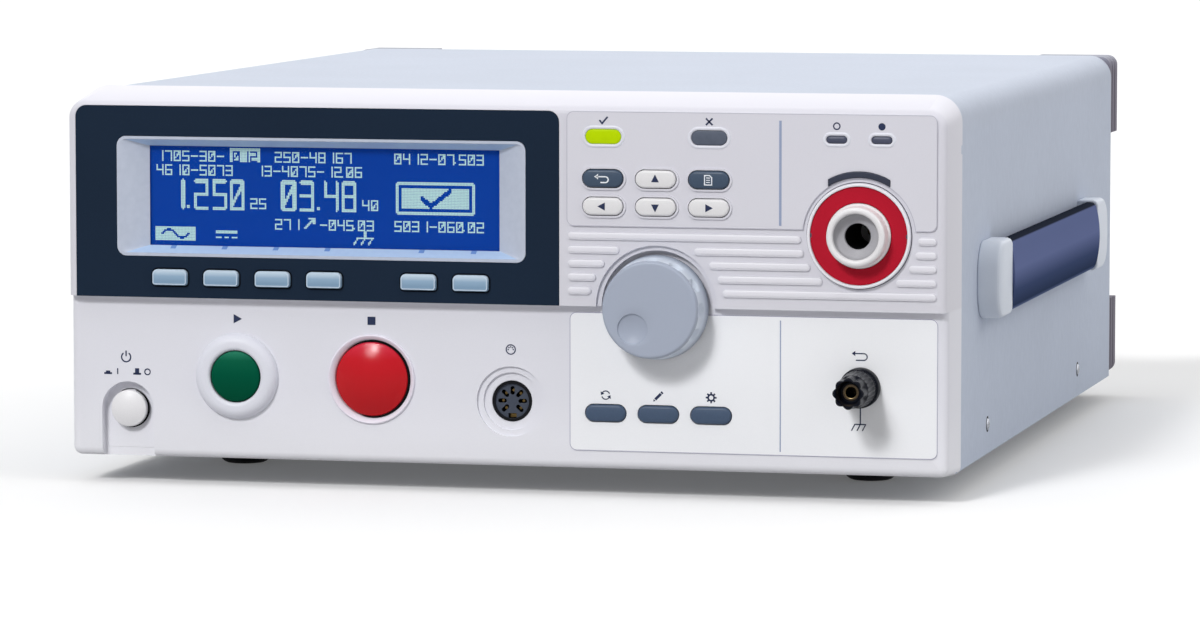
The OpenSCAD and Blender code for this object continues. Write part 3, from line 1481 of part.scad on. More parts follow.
front_bezel();
display_panel();
display_frame();
display_pane();
lcd_module();
label_film();
pass_lamp();
status_lamps();
hv_ring();
hv_collar();
hv_contact();
hv_indicator();
remote_socket();
remote_contacts();
return_base();
return_stud();
return_washer();
return_cap();
button_rings();
start_button();
stop_button();
power_button();
power_switch();
soft_key_1();
soft_key_2();
soft_key_3();
soft_key_4();
soft_key_5();
soft_key_6();
back_key();
up_key();
page_key();
left_key();
down_key();
right_key();
mode_key();
edit_key();
setup_key();
knob();
encoder_shaft();
encoder();
front_board();
key_switches();
strap_caps();
strap_grip();
strap_ends();
top_cover();
chassis_tray();
rear_panel();
rear_guards();
feet();
housing_screws();
fan_frame();
fan_rotor();
mains_inlet();
fuse_drawer();
rear_contacts();
main_board();
transformer_core();
transformer_coil();
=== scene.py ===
"""Looks of the bench hipot tester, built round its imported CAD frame.

Sizes are millimetres in the panel's own frame: X from the panel's centre, Y from the lower front plane going
back, Z from the panel's lower edge. Every mesh is moved to the row frame, in metres, when it becomes a piece.
"""

import json
import logging
import math
from dataclasses import dataclass
from enum import Enum
from typing import Sequence

import bmesh
import bpy
import numpy as np
from mathutils import Matrix, Vector

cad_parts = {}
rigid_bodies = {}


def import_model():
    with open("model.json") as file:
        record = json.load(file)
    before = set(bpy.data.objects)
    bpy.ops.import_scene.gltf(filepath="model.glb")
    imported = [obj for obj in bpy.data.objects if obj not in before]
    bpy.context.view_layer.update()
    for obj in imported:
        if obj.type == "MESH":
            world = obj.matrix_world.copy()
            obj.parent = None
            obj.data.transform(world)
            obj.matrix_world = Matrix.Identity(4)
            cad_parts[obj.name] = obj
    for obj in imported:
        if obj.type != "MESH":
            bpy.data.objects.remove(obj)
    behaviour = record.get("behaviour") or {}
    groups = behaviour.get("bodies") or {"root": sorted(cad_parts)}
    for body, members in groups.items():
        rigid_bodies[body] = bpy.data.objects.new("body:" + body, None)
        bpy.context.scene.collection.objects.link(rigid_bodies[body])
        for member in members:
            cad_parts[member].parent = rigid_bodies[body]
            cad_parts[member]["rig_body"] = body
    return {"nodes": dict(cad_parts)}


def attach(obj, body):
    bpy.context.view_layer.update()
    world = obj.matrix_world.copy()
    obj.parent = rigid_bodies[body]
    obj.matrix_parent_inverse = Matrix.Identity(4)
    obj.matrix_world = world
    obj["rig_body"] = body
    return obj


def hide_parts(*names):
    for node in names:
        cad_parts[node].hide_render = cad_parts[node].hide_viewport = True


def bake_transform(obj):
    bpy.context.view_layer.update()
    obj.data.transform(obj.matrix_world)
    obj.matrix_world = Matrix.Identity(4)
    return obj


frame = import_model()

LOG = logging.getLogger("hipot_tester")
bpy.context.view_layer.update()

MM = 0.001
TAU = 2 * math.pi
PANEL_ORIGIN = np.array([4.15, 189.8, -10.2])

MERGE = 1e-6
FLAT_ANGLE = math.radians(0.6)
SMOOTH_ANGLE = math.radians(33)
ROUND_ANGLE = math.radians(40)
ROUND_SEGMENTS = 2
SEGMENTS = 96
CORNER_POINTS = 9
LEAST_CORNER = 0.05
FACE_START = 0.12
FACE_INSET = 0.96
EDGE_RINGS = 6
MITRE_LIMIT = 0.45

INK_LIFT = 0.06
HAIR_LIFT = 0.03
STEM_R = 1.6
STEM_END = 4.3

BROAD_CELLS = 14.0
BROAD_OCTAVES = 2.0
BROAD_SHARE = 0.45
FINE_OCTAVES = 3.0
FINE_SHARE = 0.55
MIX_STOPS = (0.3, 0.7)
LEAST_ROUGHNESS = 0.03
BUMP_STRENGTH = 0.5
SOLID_WHITE = (1, 1, 1, 1)


class Grain(Enum):
    """Fine pattern of a finish. A stretch under 1 draws the pattern out along that axis."""

    MOULDED = (2600.0, 0.018, 0.10)
    POLISHED = (420.0, 0.004, 0.05)
    POWDER = (1500.0, 0.030, 0.12)
    FILM = (3400.0, 0.006, 0.06)
    BRUSHED = (900.0, 0.010, 0.16, (0.06, 1.0, 1.0))
    RUBBER = (1900.0, 0.040, 0.10)
    BOARD = (340.0, 0.010, 0.10)
    SATIN = (640.0, 0.020, 0.12, (1.0, 1.0, 0.4))

    def __init__(self, cells: float, depth: float, gloss_spread: float,
                 stretch: tuple[float, float, float] | None = None) -> None:
        """Keeps the pattern's values by name.

        Args:
            cells: Cells of the pattern per metre.
            depth: Bump depth in millimetres.
            gloss_spread: How far the pattern moves the roughness.
            stretch: Scale of the pattern along X, Y and Z, or None for an even one.
        """
        self.cells = cells
        self.depth = depth
        self.gloss_spread = gloss_spread
        self.stretch = stretch


def linear(code: str) -> tuple[float, float, float, float]:
    """Linear colour of a hex code.

    Args:
        code: Six hex digits in sRGB.

    Returns:
        Red, green, blue and alpha, by the sRGB curve.
    """
    values = np.array([int(code[i:i + 2], 16) for i in (0, 2, 4)]) / 255
    curve = np.where(values <= 0.04045, values / 12.92, ((values + 0.055) / 1.055) ** 2.4)
    return (*curve.tolist(), 1.0)


def feed(tree: bpy.types.NodeTree, node: bpy.types.Node, values: dict[str | int, object]) -> None:
    """Sets inputs of a node: a socket is linked to it, and anything else is a constant.

    Args:
        tree: Node tree that holds the node.
        node: Node to set.
        values: Sockets and constants by the input's name or number.
    """
    for key, value in values.items():
        if isinstance(value, bpy.types.NodeSocket):
            tree.links.new(value, node.inputs[key])
        else:
            node.inputs[key].default_value = value


def add_node(tree: bpy.types.NodeTree, kind: str, values: dict[str | int, object]) -> bpy.types.Node:
    """New node with its inputs set.

    Args:
        tree: Node tree that gets the node.
        kind: Blender's name of the node.
        values: Sockets and constants by the input's name or number.

    Returns:
        The new node.
    """
    node = tree.nodes.new(kind)
    feed(tree, node, values)
    return node


def combined(tree: bpy.types.NodeTree, operation: str, *values: object) -> bpy.types.NodeSocket:
    """Result of a math node.

    Args:
        tree: Node tree that gets the node.
        operation: Blender's name of the operation.
        values: Sockets and constants, in the order of the inputs.

    Returns:
        The result's socket.
    """
    node = tree.nodes.new("ShaderNodeMath")
    node.operation = operation
    feed(tree, node, dict(enumerate(values)))
    return node.outputs[0]


@dataclass(frozen=True)
class Finish:
    """One surface finish: two close colours mixed by a broad and a fine pattern, with bump and roughness.

    Attributes:
        name: Name of the material.
        colour: Main colour, hex.
        shade: Second colour, which the patterns mix in, hex.
        roughness: Mean roughness.
        grain: Fine pattern.
        metallic: Metal share.
        specular: Strength of the plain reflection.
        glow: Strength of its own light, in the main colour.
        alpha: Opacity.
        bands: Places in panel millimetres with their colours, from low to high, in place of the main colour;
            in this script most bands paint light and shade.
        axis: Axis along which the bands lie, X, Y or Z.
        mottle: How much the patterns darken the bands.
    """

    name: str
    colour: str
    shade: str
    roughness: float
    grain: Grain
    metallic: float = 0.0
    specular: float = 0.3
    glow: float = 0.0
    alpha: float = 1.0
    bands: tuple[tuple[float, str], ...] = ()
    axis: str = "Z"
    mottle: float = 0.08

    def material(self) -> bpy.types.Material:
        """The finish as a node material, made once."""
        return bpy.data.materials.get(f"{self.name}_look") or self._made()

    def _made(self) -> bpy.types.Material:
        """Builds the node tree: broad and fine noise on Object coordinates drive colour, roughness and bump.

        Returns:
            The new material.
        """
        material = bpy.data.materials.new(f"{self.name}_look")
        material.use_nodes = True
        tree = material.node_tree
        place = tree.nodes.new("ShaderNodeTexCoord").outputs["Object"]
        fine = self._fine(tree, place)
        broad = add_node(tree, "ShaderNodeTexNoise",
                         {"Scale": BROAD_CELLS, "Detail": BROAD_OCTAVES, "Vector": place}).outputs["Fac"]
        weak = combined(tree, "MULTIPLY", broad, BROAD_SHARE)
        pattern = combined(tree, "MULTIPLY_ADD", fine, FINE_SHARE, weak)
        spread = self.grain.gloss_spread
        gloss = add_node(tree, "ShaderNodeMapRange", {
            "Value": fine,
            "To Min": max(LEAST_ROUGHNESS, self.roughness - spread),
            "To Max": min(1.0, self.roughness + spread),
        })
        bump = add_node(tree, "ShaderNodeBump", {
            "Strength": BUMP_STRENGTH,
            "Distance": self.grain.depth * MM,
            "Height": fine,
        })
        shader = tree.nodes["Principled BSDF"]
        feed(tree, shader, {
            "Base Color": self._banded(tree, place, pattern) if self.bands else self._mixed(tree, pattern),
            "Metallic": self.metallic,
            "Roughness": gloss.outputs["Result"],
            "Specular IOR Level": self.specular,
            "Alpha": self.alpha,
            "Normal": bump.outputs["Normal"],
        })
        if self.glow:
            feed(tree, shader, {"Emission Color": linear(self.colour), "Emission Strength": self.glow})
        return material

    def _fine(self, tree: bpy.types.NodeTree, place: bpy.types.NodeSocket) -> bpy.types.NodeSocket:
        """Fine noise of the grain, drawn out where the grain has a stretch.

        Args:
            tree: Node tree that gets the nodes.
            place: Coordinates.

        Returns:
            The noise's value socket.
        """
        if self.grain.stretch:
            mapping = add_node(tree, "ShaderNodeMapping", {"Scale": self.grain.stretch, "Vector": place})
            place = mapping.outputs["Vector"]
        noise = add_node(tree, "ShaderNodeTexNoise",
                         {"Scale": self.grain.cells, "Detail": FINE_OCTAVES, "Vector": place})
        return noise.outputs["Fac"]

    def _mixed(self, tree: bpy.types.NodeTree, pattern: bpy.types.NodeSocket) -> bpy.types.NodeSocket:
        """Colour that goes from the main colour to the second one as the pattern rises.

        Args:
            tree: Node tree that gets the node.
            pattern: Mixed noise.

        Returns:
            The colour's socket.
        """
        ramp = add_node(tree, "ShaderNodeValToRGB", {"Fac": pattern})
        for stop, position, code in zip(ramp.color_ramp.elements, MIX_STOPS, (self.colour, self.shade)):
            stop.position = position
            stop.color = linear(code)
        return ramp.outputs["Color"]

    def _banded(self, tree: bpy.types.NodeTree, place: bpy.types.NodeSocket,
                pattern: bpy.types.NodeSocket) -> bpy.types.NodeSocket:
        """Colour that goes from band to band along the axis, a little darker where the pattern is high.

        Args:
            tree: Node tree that gets the nodes.
            place: Coordinates.
            pattern: Mixed noise.

        Returns:
            The colour's socket.
        """
        axes = add_node(tree, "ShaderNodeSeparateXYZ", {0: place})
        low, high = self.bands[0][0], self.bands[-1][0]
        origin = PANEL_ORIGIN["XYZ".index(self.axis)]
        rise = add_node(tree, "ShaderNodeMapRange", {
            "Value": axes.outputs[self.axis],
            "From Min": (low - origin) * MM,
            "From Max": (high - origin) * MM,
        })
        ramp = add_node(tree, "ShaderNodeValToRGB", {"Fac": rise.outputs["Result"]})
        stops = ramp.color_ramp.elements
        for height, _ in self.bands[1:-1]:
            stops.new((height - low) / (high - low))
        for stop, (_, code) in zip(stops, self.bands):
            stop.color = linear(code)
        mix = tree.nodes.new("ShaderNodeMix")
        mix.data_type = "RGBA"
        mix.blend_type = "MULTIPLY"
        level = 1 - self.mottle
        feed(tree, mix, {"Factor": pattern, "A": ramp.outputs["Color"], "B": (level, level, level, 1.0)})
        return mix.outputs["Result"]


# Painted light and shade: the bezel is one plastic, painted lighter towards its bottom and darker above the
# ledge at Z 59.6, for how light falls on it.
BEZEL_PAINTED_SHADE = Finish("bezel_plastic", "e6e6ee", "dfdfe8", 0.46, Grain.MOULDED,
               bands=((0.0, "f0f0f6"), (26.0, "e6e6ee"), (58.9, "e2e2ea"), (59.6, "dad9e1"),
                      (131.6, "dcdbe4")))
# Painted highlight: the moulded rim round the red ring is a whiter copy of the bezel plastic, for the light
# on it.
RIM_PAINTED_HIGHLIGHT = Finish("rim_painted_highlight", "efeff4", "e8e8ee", 0.40, Grain.MOULDED)
WHITE = Finish("white_plastic", "e0e1ea", "dadbe5", 0.40, Grain.MOULDED)
NAVY = Finish("navy_film", "1d2b3d", "192535", 0.42, Grain.FILM, specular=0.04)
FUNNEL = Finish("window_frame", "bfc6d6", "b4bccd", 0.30, Grain.POLISHED)
# Painted reflection: pale blue on the window's slopes, for the screen's light reflected there.
SLOPE_PAINTED_REFLECTION = Finish("window_slopes_painted_reflection", "b6cce9", "abc3e3", 0.30, Grain.POLISHED, specular=0.15)
SCREEN = Finish("screen_blue", "063fa2", "053997", 0.40, Grain.FILM, specular=0.04, glow=0.2)
DOTS = Finish("screen_dots", "b8dbd6", "abd1ce", 0.45, Grain.FILM, specular=0.1, glow=0.38)
PANE = Finish("clear_pane", "16284c", "1a2d52", 0.08, Grain.POLISHED, specular=0.2, alpha=0.06)
# Painted highlight: the rib crowns are a lighter copy of the bezel plastic, so the ribs read as lit.
RIB_PAINTED_HIGHLIGHT = Finish("rib_painted_highlight", "e6e5ec", "dfdee6", 0.42, Grain.MOULDED)
# Painted shade: a grey line along the raised pad's edge, for the shade of its step.
PAD_EDGE_SHADE = Finish("pad_edge_painted_shade", "c0bfca", "b6b5c1", 0.5, Grain.FILM)
# Painted highlight: a pale line on each soft key's front edge, for the light on its rounded edge.
KEY_EDGE_HIGHLIGHT = Finish("soft_key_painted_edge_light", "c9d8e7", "bfd0e1", 0.40, Grain.MOULDED)
# Painted shade: a near-black ring on the panel round each soft key, for the shade in the gap.
KEY_GAP_SHADE = Finish("key_painted_shade", "0c121c", "080d15", 0.60, Grain.FILM, specular=0.03)
LABEL = Finish("label_film", "f5f6f9", "f0f1f5", 0.50, Grain.FILM)
INK = Finish("navy_ink", "26304f", "212a48", 0.5, Grain.FILM, specular=0.2)
PALE_INK = Finish("pale_ink", "eef1f6", "e4e8ee", 0.5, Grain.FILM)
LINE_INK = Finish("divider_ink", "98a3bf", "8d99b6", 0.5, Grain.FILM)
THIN_INK = Finish("outline_ink", "b3b1c4", "a9a7bb", 0.5, Grain.FILM)
# Painted shade: a dark line round the socket's rim and dark marks for the red ring's notches.
RIM_SHADE_INK = Finish("painted_shade_line", "5b5866", "514e5c", 0.6, Grain.FILM, specular=0.1)
TICK_INK = Finish("tick_ink", "7295cf", "668bc7", 0.4, Grain.FILM)
LIT_LAMP = Finish("lamp_lit", "a8c400", "9fbb00", 0.34, Grain.POLISHED, specular=0.06, glow=0.3)
GREY_LAMP = Finish("lamp_grey", "5f6675", "565d6b", 0.34, Grain.POLISHED, specular=0.1)
DARK_LAMP = Finish("lamp_dark", "4b4f63", "434759", 0.34, Grain.POLISHED, specular=0.2)
RED_RING = Finish("red_ring", "b8192f", "ac152a", 0.42, Grain.MOULDED, specular=0.08)
COLLAR = Finish("collar_plastic", "eae8ea", "e2e0e2", 0.34, Grain.MOULDED)
# Painted shade: the collar's bore is a greyer copy of the white collar plastic, for the shade inside it.
COLLAR_BORE_SHADE = Finish("collar_bore_painted_shade", "b4b3b8", "a9a8ad", 0.40, Grain.MOULDED, specular=0.15)
# Painted shade: a near-black liner in the socket's hole and crescents beside the stop and power buttons, for
# the shade there.
SHADE_BLACK = Finish("painted_shade_black", "0d0d10", "08080a", 0.50, Grain.MOULDED, specular=0.05)
# Painted shade: the stud and the high voltage contact are a darkened metal, for the shade deep in their
# holes.
STUD_PAINTED_SHADE = Finish("stud_metal_painted_shade", "54483a", "443a2f", 0.30, Grain.BRUSHED, metallic=1.0)
SLEEVE = Finish("sleeve_metal", "94805a", "806d4a", 0.35, Grain.BRUSHED, metallic=1.0)
POST = Finish("post_black", "12151f", "0c0f17", 0.22, Grain.POLISHED, specular=0.05)
SMOKED = Finish("smoked_lens", "363b4b", "2f3443", 0.30, Grain.POLISHED, specular=0.2)
BLACK = Finish("black_plastic", "15171c", "0f1115", 0.30, Grain.MOULDED)
# Painted sheen: the start button is painted darker low and lighter towards its top, for the light on it.
GREEN_PAINTED_SHEEN = Finish("green_button", "005139", "004932", 0.40, Grain.MOULDED, specular=0.03,
               bands=((21.3, "004831"), (31.0, "00523a"), (36.5, "085c42"), (39.9, "2a8265")))
# Painted highlight: the stop button is painted lighter towards its top edge, for the highlight there.
RED_PAINTED_SHEEN = Finish("red_button", "c00714", "b60511", 0.19, Grain.POLISHED, specular=0.2,
             bands=((17.0, "b80713"), (28.0, "c00916"), (38.0, "c60c1e"), (44.2, "d62a44")))
STOP_RING = Finish("stop_ring", "ebe7f2", "e4dfeb", 0.40, Grain.MOULDED)
POWER = Finish("power_button", "ebeaec", "e3e2e5", 0.36, Grain.MOULDED)
INSERT = Finish("socket_insert", "3c424e", "343a45", 0.42, Grain.MOULDED, specular=0.1, axis="Y",
                bands=((1.7, "0c0d12"), (2.2, "0c0d12"), (2.45, "474d5a"), (2.6, "474d5a"), (3.2, "07080b")))
# Painted shade: the remote socket's contacts are a darkened brass, for the shade in their slots.
PIN_PAINTED_SHADE = Finish("socket_pins_painted_shade", "6a5734", "5a4a2b", 0.35, Grain.BRUSHED, metallic=1.0)
SWITCH = Finish("switch_plastic", "3b3f46", "33373d", 0.5, Grain.MOULDED)
# Painted light and shade: the soft keys are a little darker below their middle and much lighter along their
# top edge.
SOFT_KEY_PAINTED_LIGHT = Finish("soft_key_painted_light", "86a4bf", "8eaec9", 0.46, Grain.MOULDED, specular=0.15,
                  bands=((63.8, "8fabc4"), (65.2, "83a0bb"), (67.2, "93afc8"), (69.0, "c2d4e4")))
DARK_KEY = Finish("dark_key", "3d4e63", "354559", 0.38, Grain.MOULDED)
LIGHT_KEY = Finish("light_key", "e6e5e6", "dedddf", 0.40, Grain.MOULDED)
FUNCTION_KEY = Finish("function_key", "44566f", "3c4d65", 0.42, Grain.MOULDED)
# Painted light and shade: the face keeps its colour, a bright band follows the front edge, and the flank
# darkens towards the back.
KNOB_PAINTED_LIGHT = Finish("knob_plastic", "a6aebf", "9da6b8", 0.42, Grain.MOULDED, axis="Y",
              bands=((-15.0, "a7afc0"), (-13.05, "a7afc0"), (-12.8, "d8e0eb"), (-7.0, "c8d1df"),
                     (-3.6, "a3acbc"), (-1.3, "7e8797")))
SCREW = Finish("screw_steel", "a5a8ae", "94979e", 0.28, Grain.BRUSHED, metallic=1.0)
# Painted shade: dark rings round the side screws' heads.
SCREW_SHADE = Finish("screw_painted_shade", "33343b", "2b2c33", 0.6, Grain.FILM, specular=0.02)
STEEL = Finish("plated_steel", "bfc2c8", "a9adb4", 0.30, Grain.BRUSHED, metallic=1.0)
BOARD = Finish("circuit_board", "2f6b46", "27593a", 0.45, Grain.BOARD)
# Painted light and shade: a light line along the strap's lower edge, a dark band above it, a lighter band for
# sheen over its upper middle, and a dark top edge for shadow.
STRAP_PAINTED_LIGHT = Finish("strap_vinyl", "35405f", "303a58", 0.5, Grain.MOULDED, specular=0.0,
               bands=((52.3, "8493b6"), (53.0, "5a688f"), (54.2, "36425f"), (60.0, "435074"),
                      (68.0, "6c77a2"), (77.9, "66719a"), (78.4, "2b303c")))
# Painted shade: the strap's end caps are painted lighter next to the cover and darker towards their outer
# side.
STRAP_CAP_PAINTED_SHADE = Finish("strap_cap_plastic", "d6ddea", "ccd4e2", 0.42, Grain.MOULDED, axis="X",
                   bands=((164.0, "e2e9f4"), (171.5, "d6dde9"), (175.0, "c2c9d6")))
# Slight painted shade: the bands shift the cover paint's tone a little with height.
PAINT = Finish("cover_paint", "c6cfe0", "bfc9db", 0.55, Grain.SATIN, specular=0.03, mottle=0.17,
               bands=((0.0, "c5cedf"), (120.0, "c7cfdf"), (134.6, "c7cedc")))
SHEET = Finish("plated_sheet", "a5abb5", "949ba6", 0.38, Grain.BRUSHED, metallic=0.85)
REAR_PAINT = Finish("rear_paint", "b9c1d1", "b1b9ca", 0.48, Grain.POWDER, specular=0.2)
# Painted highlight: the rear guards are painted lighter over their top edge, for the light on their rounded
# top.
GUARD_PAINTED_LIGHT = Finish("guard_plastic", "6f6a77", "625d6a", 0.50, Grain.MOULDED, specular=0.03,
               bands=((0.0, "736e7b"), (128.0, "736e7b"), (132.0, "858390"), (134.2, "a0a2af")))
RUBBER = Finish("foot_rubber", "18191d", "121317", 0.72, Grain.RUBBER)
CORE = Finish("core_steel", "5f6167", "4e5056", 0.48, Grain.BRUSHED, metallic=0.7)
WINDING = Finish("taped_winding", "b0693a", "96552c", 0.46, Grain.BOARD)


@dataclass
class Patch:
    """Closed shells as points in panel millimetres and faces as rows of indices."""

    points: np.ndarray
    faces: list[np.ndarray]

    def turned_to_side(self, x: float, y: float, z: float, side: int) -> "Patch":
        """The patch, drawn about Y at the origin facing -Y, set on the cover's side facing +X or -X.

        Args:
            x: Place along X.
            y: Place along Y.
            z: Place along Z.
            side: 1 for the right side, -1 for the left.

        Returns:
            A new patch.
        """
        p = self.points
        moved = np.stack([x - side * p[:, 1], y + side * p[:, 0], z + p[:, 2]], -1)
        return Patch(moved, self.faces)

    def turned_to_back(self, x: float, y: float, z: float) -> "Patch":
        """The patch, drawn about Y at the origin facing -Y, set on the back facing +Y."""
        p = self.points
        return Patch(np.stack([x - p[:, 0], y - p[:, 1], z + p[:, 2]], -1), self.faces)

    def moved(self, x: float, y: float, z: float) -> "Patch":
        """The patch shifted by so much."""
        return Patch(self.points + np.array([x, y, z]), self.faces)


def joined(patches: Sequence[Patch]) -> Patch:
    """Several patches as one.

    Args:
        patches: Patches to join.

    Returns:
        One patch with all their points and faces.
    """
    faces: list[np.ndarray] = []
    start = 0
    for patch in patches:
        faces += [rows + start for rows in patch.faces]
        start += len(patch.points)
    return Patch(np.concatenate([p.points for p in patches]), faces)


def skin(points: np.ndarray, wrap: bool = False) -> Patch:
    """Quads over a grid of closed rings.

    Args:
        points: Grid of shape (rings, points, 3), the last point of a ring joined to its first.
        wrap: Whether the last ring joins the first.

    Returns:
        The grid as a patch.
    """
    rows, columns = points.shape[:2]
    index = np.arange(rows * columns).reshape(rows, columns)
    if wrap:
        index = np.concatenate([index, index[:1]], 0)
    index = np.concatenate([index, index[:, :1]], 1)
    quads = np.stack([index[:-1, :-1], index[:-1, 1:], index[1:, 1:], index[1:, :-1]], -1).reshape(-1, 4)
    return Patch(points.reshape(-1, 3), [quads])


def capped(rings: np.ndarray, first: np.ndarray | None = None, last: np.ndarray | None = None) -> Patch:
    """Closed rings as a skin, with a fan of triangles to a pole at each end.

    Args:
        rings: Grid of shape (rings, points, 3), each ring closed.
        first: Pole in front of the first ring, or None for the ring's middle.
        last: Pole behind the last ring, or None for the ring's middle.

    Returns:
        A closed patch.
    """
    patch = skin(rings)
    count, around = rings.shape[:2]
    front_pole = rings[0].mean(0) if first is None else first
    back_pole = rings[-1].mean(0) if last is None else last
    step = np.arange(around)
    after = (step + 1) % around
    base = (count - 1) * around
    total = count * around
    front = np.stack([np.full(around, total), after, step], -1)
    back = np.stack([np.full(around, total + 1), base + step, base + after], -1)
    points = np.concatenate([patch.points, np.stack([front_pole, back_pole])])
    return Patch(points, patch.faces + [front, back])


def turned(profile: Sequence[Sequence[float]], x: float = 0.0, z: float = 0.0, closed: bool = False) -> Patch:
    """Profile of (radius, y) carried round the axis through (x, z).

    Args:
        profile: Points from the front to the back.
        x: Axis place along X.
        z: Axis place along Z.
        closed: Whether the profile is a loop, as for a ring.

    Returns:
        A closed patch: a loop makes a ring, an open profile gets a pole on the axis at each end.
    """
    line = np.asarray(profile, float)
    angle = np.linspace(0, TAU, SEGMENTS, endpoint=False)
    rings = np.stack([x + line[:, :1] * np.cos(angle), np.repeat(line[:, 1:], SEGMENTS, 1),
                      z + line[:, :1] * np.sin(angle)], -1)
    return skin(rings, wrap=True) if closed else capped(rings)


def arc(cx: float, cz: float, r: float, start: float, end: float, count: int = 12) -> np.ndarray:
    """Points of an arc about (cx, cz), angles in degrees."""
    angle = np.radians(np.linspace(start, end, count))
    return np.stack([cx + r * np.cos(angle), cz + r * np.sin(angle)], -1)


def circle(r: float, count: int = 24) -> np.ndarray:
    """Points of a full circle about the origin, for a closed line."""
    return arc(0, 0, r, 0, 360 - 360 / count, count)


def rounded(w: float, h: float, low: float, high: float | None = None) -> np.ndarray:
    """Rounded rectangle about the origin, with its own radius at the lower and upper corners.

    Args:
        w: Width.
        h: Height.
        low: Radius of the lower corners.
        high: Radius of the upper corners, or None for the same.

    Returns:
        Outline points of shape (4 * CORNER_POINTS, 2), counter-clockwise.
    """
    high = low if high is None else high
    corners = ((1, 1, high, 0), (-1, 1, high, 90), (-1, -1, low, 180), (1, -1, low, 270))
    return np.concatenate([arc(sx * (w / 2 - r), sz * (h / 2 - r), r, start, start + 90, CORNER_POINTS)
                           for sx, sz, r, start in corners])


def loft(outlines: Sequence[np.ndarray], depths: Sequence[float]) -> Patch:
    """Outlines in (x, z), each at its own depth along Y, joined into a closed form.

    Args:
        outlines: Outlines with the same number of points.
        depths: Y of each outline.

    Returns:
        A closed patch.
    """
    flat = np.stack(outlines)
    deep = np.broadcast_to(np.asarray(depths, float)[:, None], flat.shape[:2])
    return capped(np.stack([flat[..., 0], deep, flat[..., 1]], -1))


def cushion(w: float, h: float, low: float, high: float, front: float, back: float, edge: float,
            bulge: float) -> Patch:
    """Key or lens: a rounded rectangle with a quarter-round front edge and a slightly bulged face.

    The outline shrinks towards the middle, while the face comes forward as a parabola. Over the edge the
    inset and the depth follow a cosine and a sine.

    Args:
        w: Width.
        h: Height.
        low: Radius of the lower corners.
        high: Radius of the upper corners.
        front: Y of the face's edge.
        back: Y of the back.
        edge: Radius of the rounded edge.
        bulge: How far the face's middle stands in front of its edge.

    Returns:
        A closed patch about the origin.
    """
    rows = [(edge + (1 - share) * (h / 2 - edge) * FACE_INSET, front - bulge * (1 - share ** 2))
            for share in np.linspace(FACE_START, 1, EDGE_RINGS)]
    rows += [(edge * (1 - math.cos(turn)), front + edge * (1 - math.sin(turn)))
             for turn in np.radians(np.linspace(90, 0, EDGE_RINGS)[1:])]
    rows.append((0.0, back))
    outlines = [rounded(w - 2 * inset, h - 2 * inset, max(LEAST_CORNER, low - inset),
                        max(LEAST_CORNER, high - inset)) for inset, _ in rows]
    return loft(outlines, [depth for _, depth in rows])


def pill(w: float, h: float, front: float, back: float, edge: float, bulge: float) -> Patch:
    """Cushion with round ends, with the sizes that cushion takes."""
    r = h / 2 - 0.01
    return cushion(w, h, r, r, front, back, edge, bulge)


def stroke(path: Sequence[Sequence[float]], width: float, face: float, lift: float = INK_LIFT,
           closed: bool = False) -> Patch:
    """Thin line, for print and for painted shade and highlight lines: a flat rectangular section carried
    along a path on the face at Y = face.

    Args:
        path: Points (x, z).
        width: Width of the line.
        face: Y of the face it lies on.
        lift: Height of the line in front of the face.
        closed: Whether the path is a loop.

    Returns:
        A closed patch.
    """
    path = np.asarray(path, float)
    ahead = np.roll(path, -1, 0) - path
    behind = path - np.roll(path, 1, 0)
    if not closed:
        ahead[-1], behind[0] = behind[-1], ahead[0]
    ahead /= np.linalg.norm(ahead, axis=1, keepdims=True)
    behind /= np.linalg.norm(behind, axis=1, keepdims=True)
    along = ahead + behind
    along /= np.linalg.norm(along, axis=1, keepdims=True)
    normal = np.stack([-along[:, 1], along[:, 0]], -1)
    stretch = width / 2 / np.maximum(MITRE_LIMIT, (along * ahead).sum(1, keepdims=True))
    left, right = path + normal * stretch, path - normal * stretch
    rail = np.stack([left, right, right, left], 1)
    deep = np.broadcast_to(np.array([face - lift, face - lift, face + lift, face + lift]), rail.shape[:2])
    ring = np.stack([rail[..., 0], deep, rail[..., 1]], -1)
    return skin(ring, wrap=True) if closed else capped(ring)


def filled(outline: Sequence[Sequence[float]], face: float) -> Patch:
    """Flat area, for print or painted shade: a thin slab of a star-shaped outline on the face at Y = face."""
    return loft([np.asarray(outline, float)] * 2, [face - INK_LIFT, face + INK_LIFT])


def piece(name: str, patch: Patch, finish: Finish, body: str = "housing",
          stands_for: Sequence[str] = ()) -> None:
    """Puts a patch into the scene as a piece that rides on a body.

    Args:
        name: Name of the piece.
        patch: Closed shells in panel millimetres.
        finish: Its finish.
        body: CAD body that it rides on.
        stands_for: CAD nodes that it replaces.
    """
    obj = solid(name, patch, finish)
    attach(obj, body)
    register(obj, stands_for)


def solid(name: str, patch: Patch, finish: Finish) -> bpy.types.Object:
    """A patch as a mesh object in the row frame, with outward faces.

    Args:
        name: Name of the object.
        patch: Closed shells in panel millimetres.
        finish: Its finish.

    Returns:
        The new object, at the origin.
    """
    mesh = bpy.data.meshes.new(name)
    points = (patch.points - PANEL_ORIGIN) * MM
    mesh.from_pydata(points.tolist(), [], [row for rows in patch.faces for row in rows.tolist()])
    work = bmesh.new()
    work.from_mesh(mesh)
    bmesh.ops.remove_doubles(work, verts=work.verts, dist=MERGE)
    bmesh.ops.recalc_face_normals(work, faces=work.faces)
    work.to_mesh(mesh)
    work.free()
    return shown(name, mesh, finish)


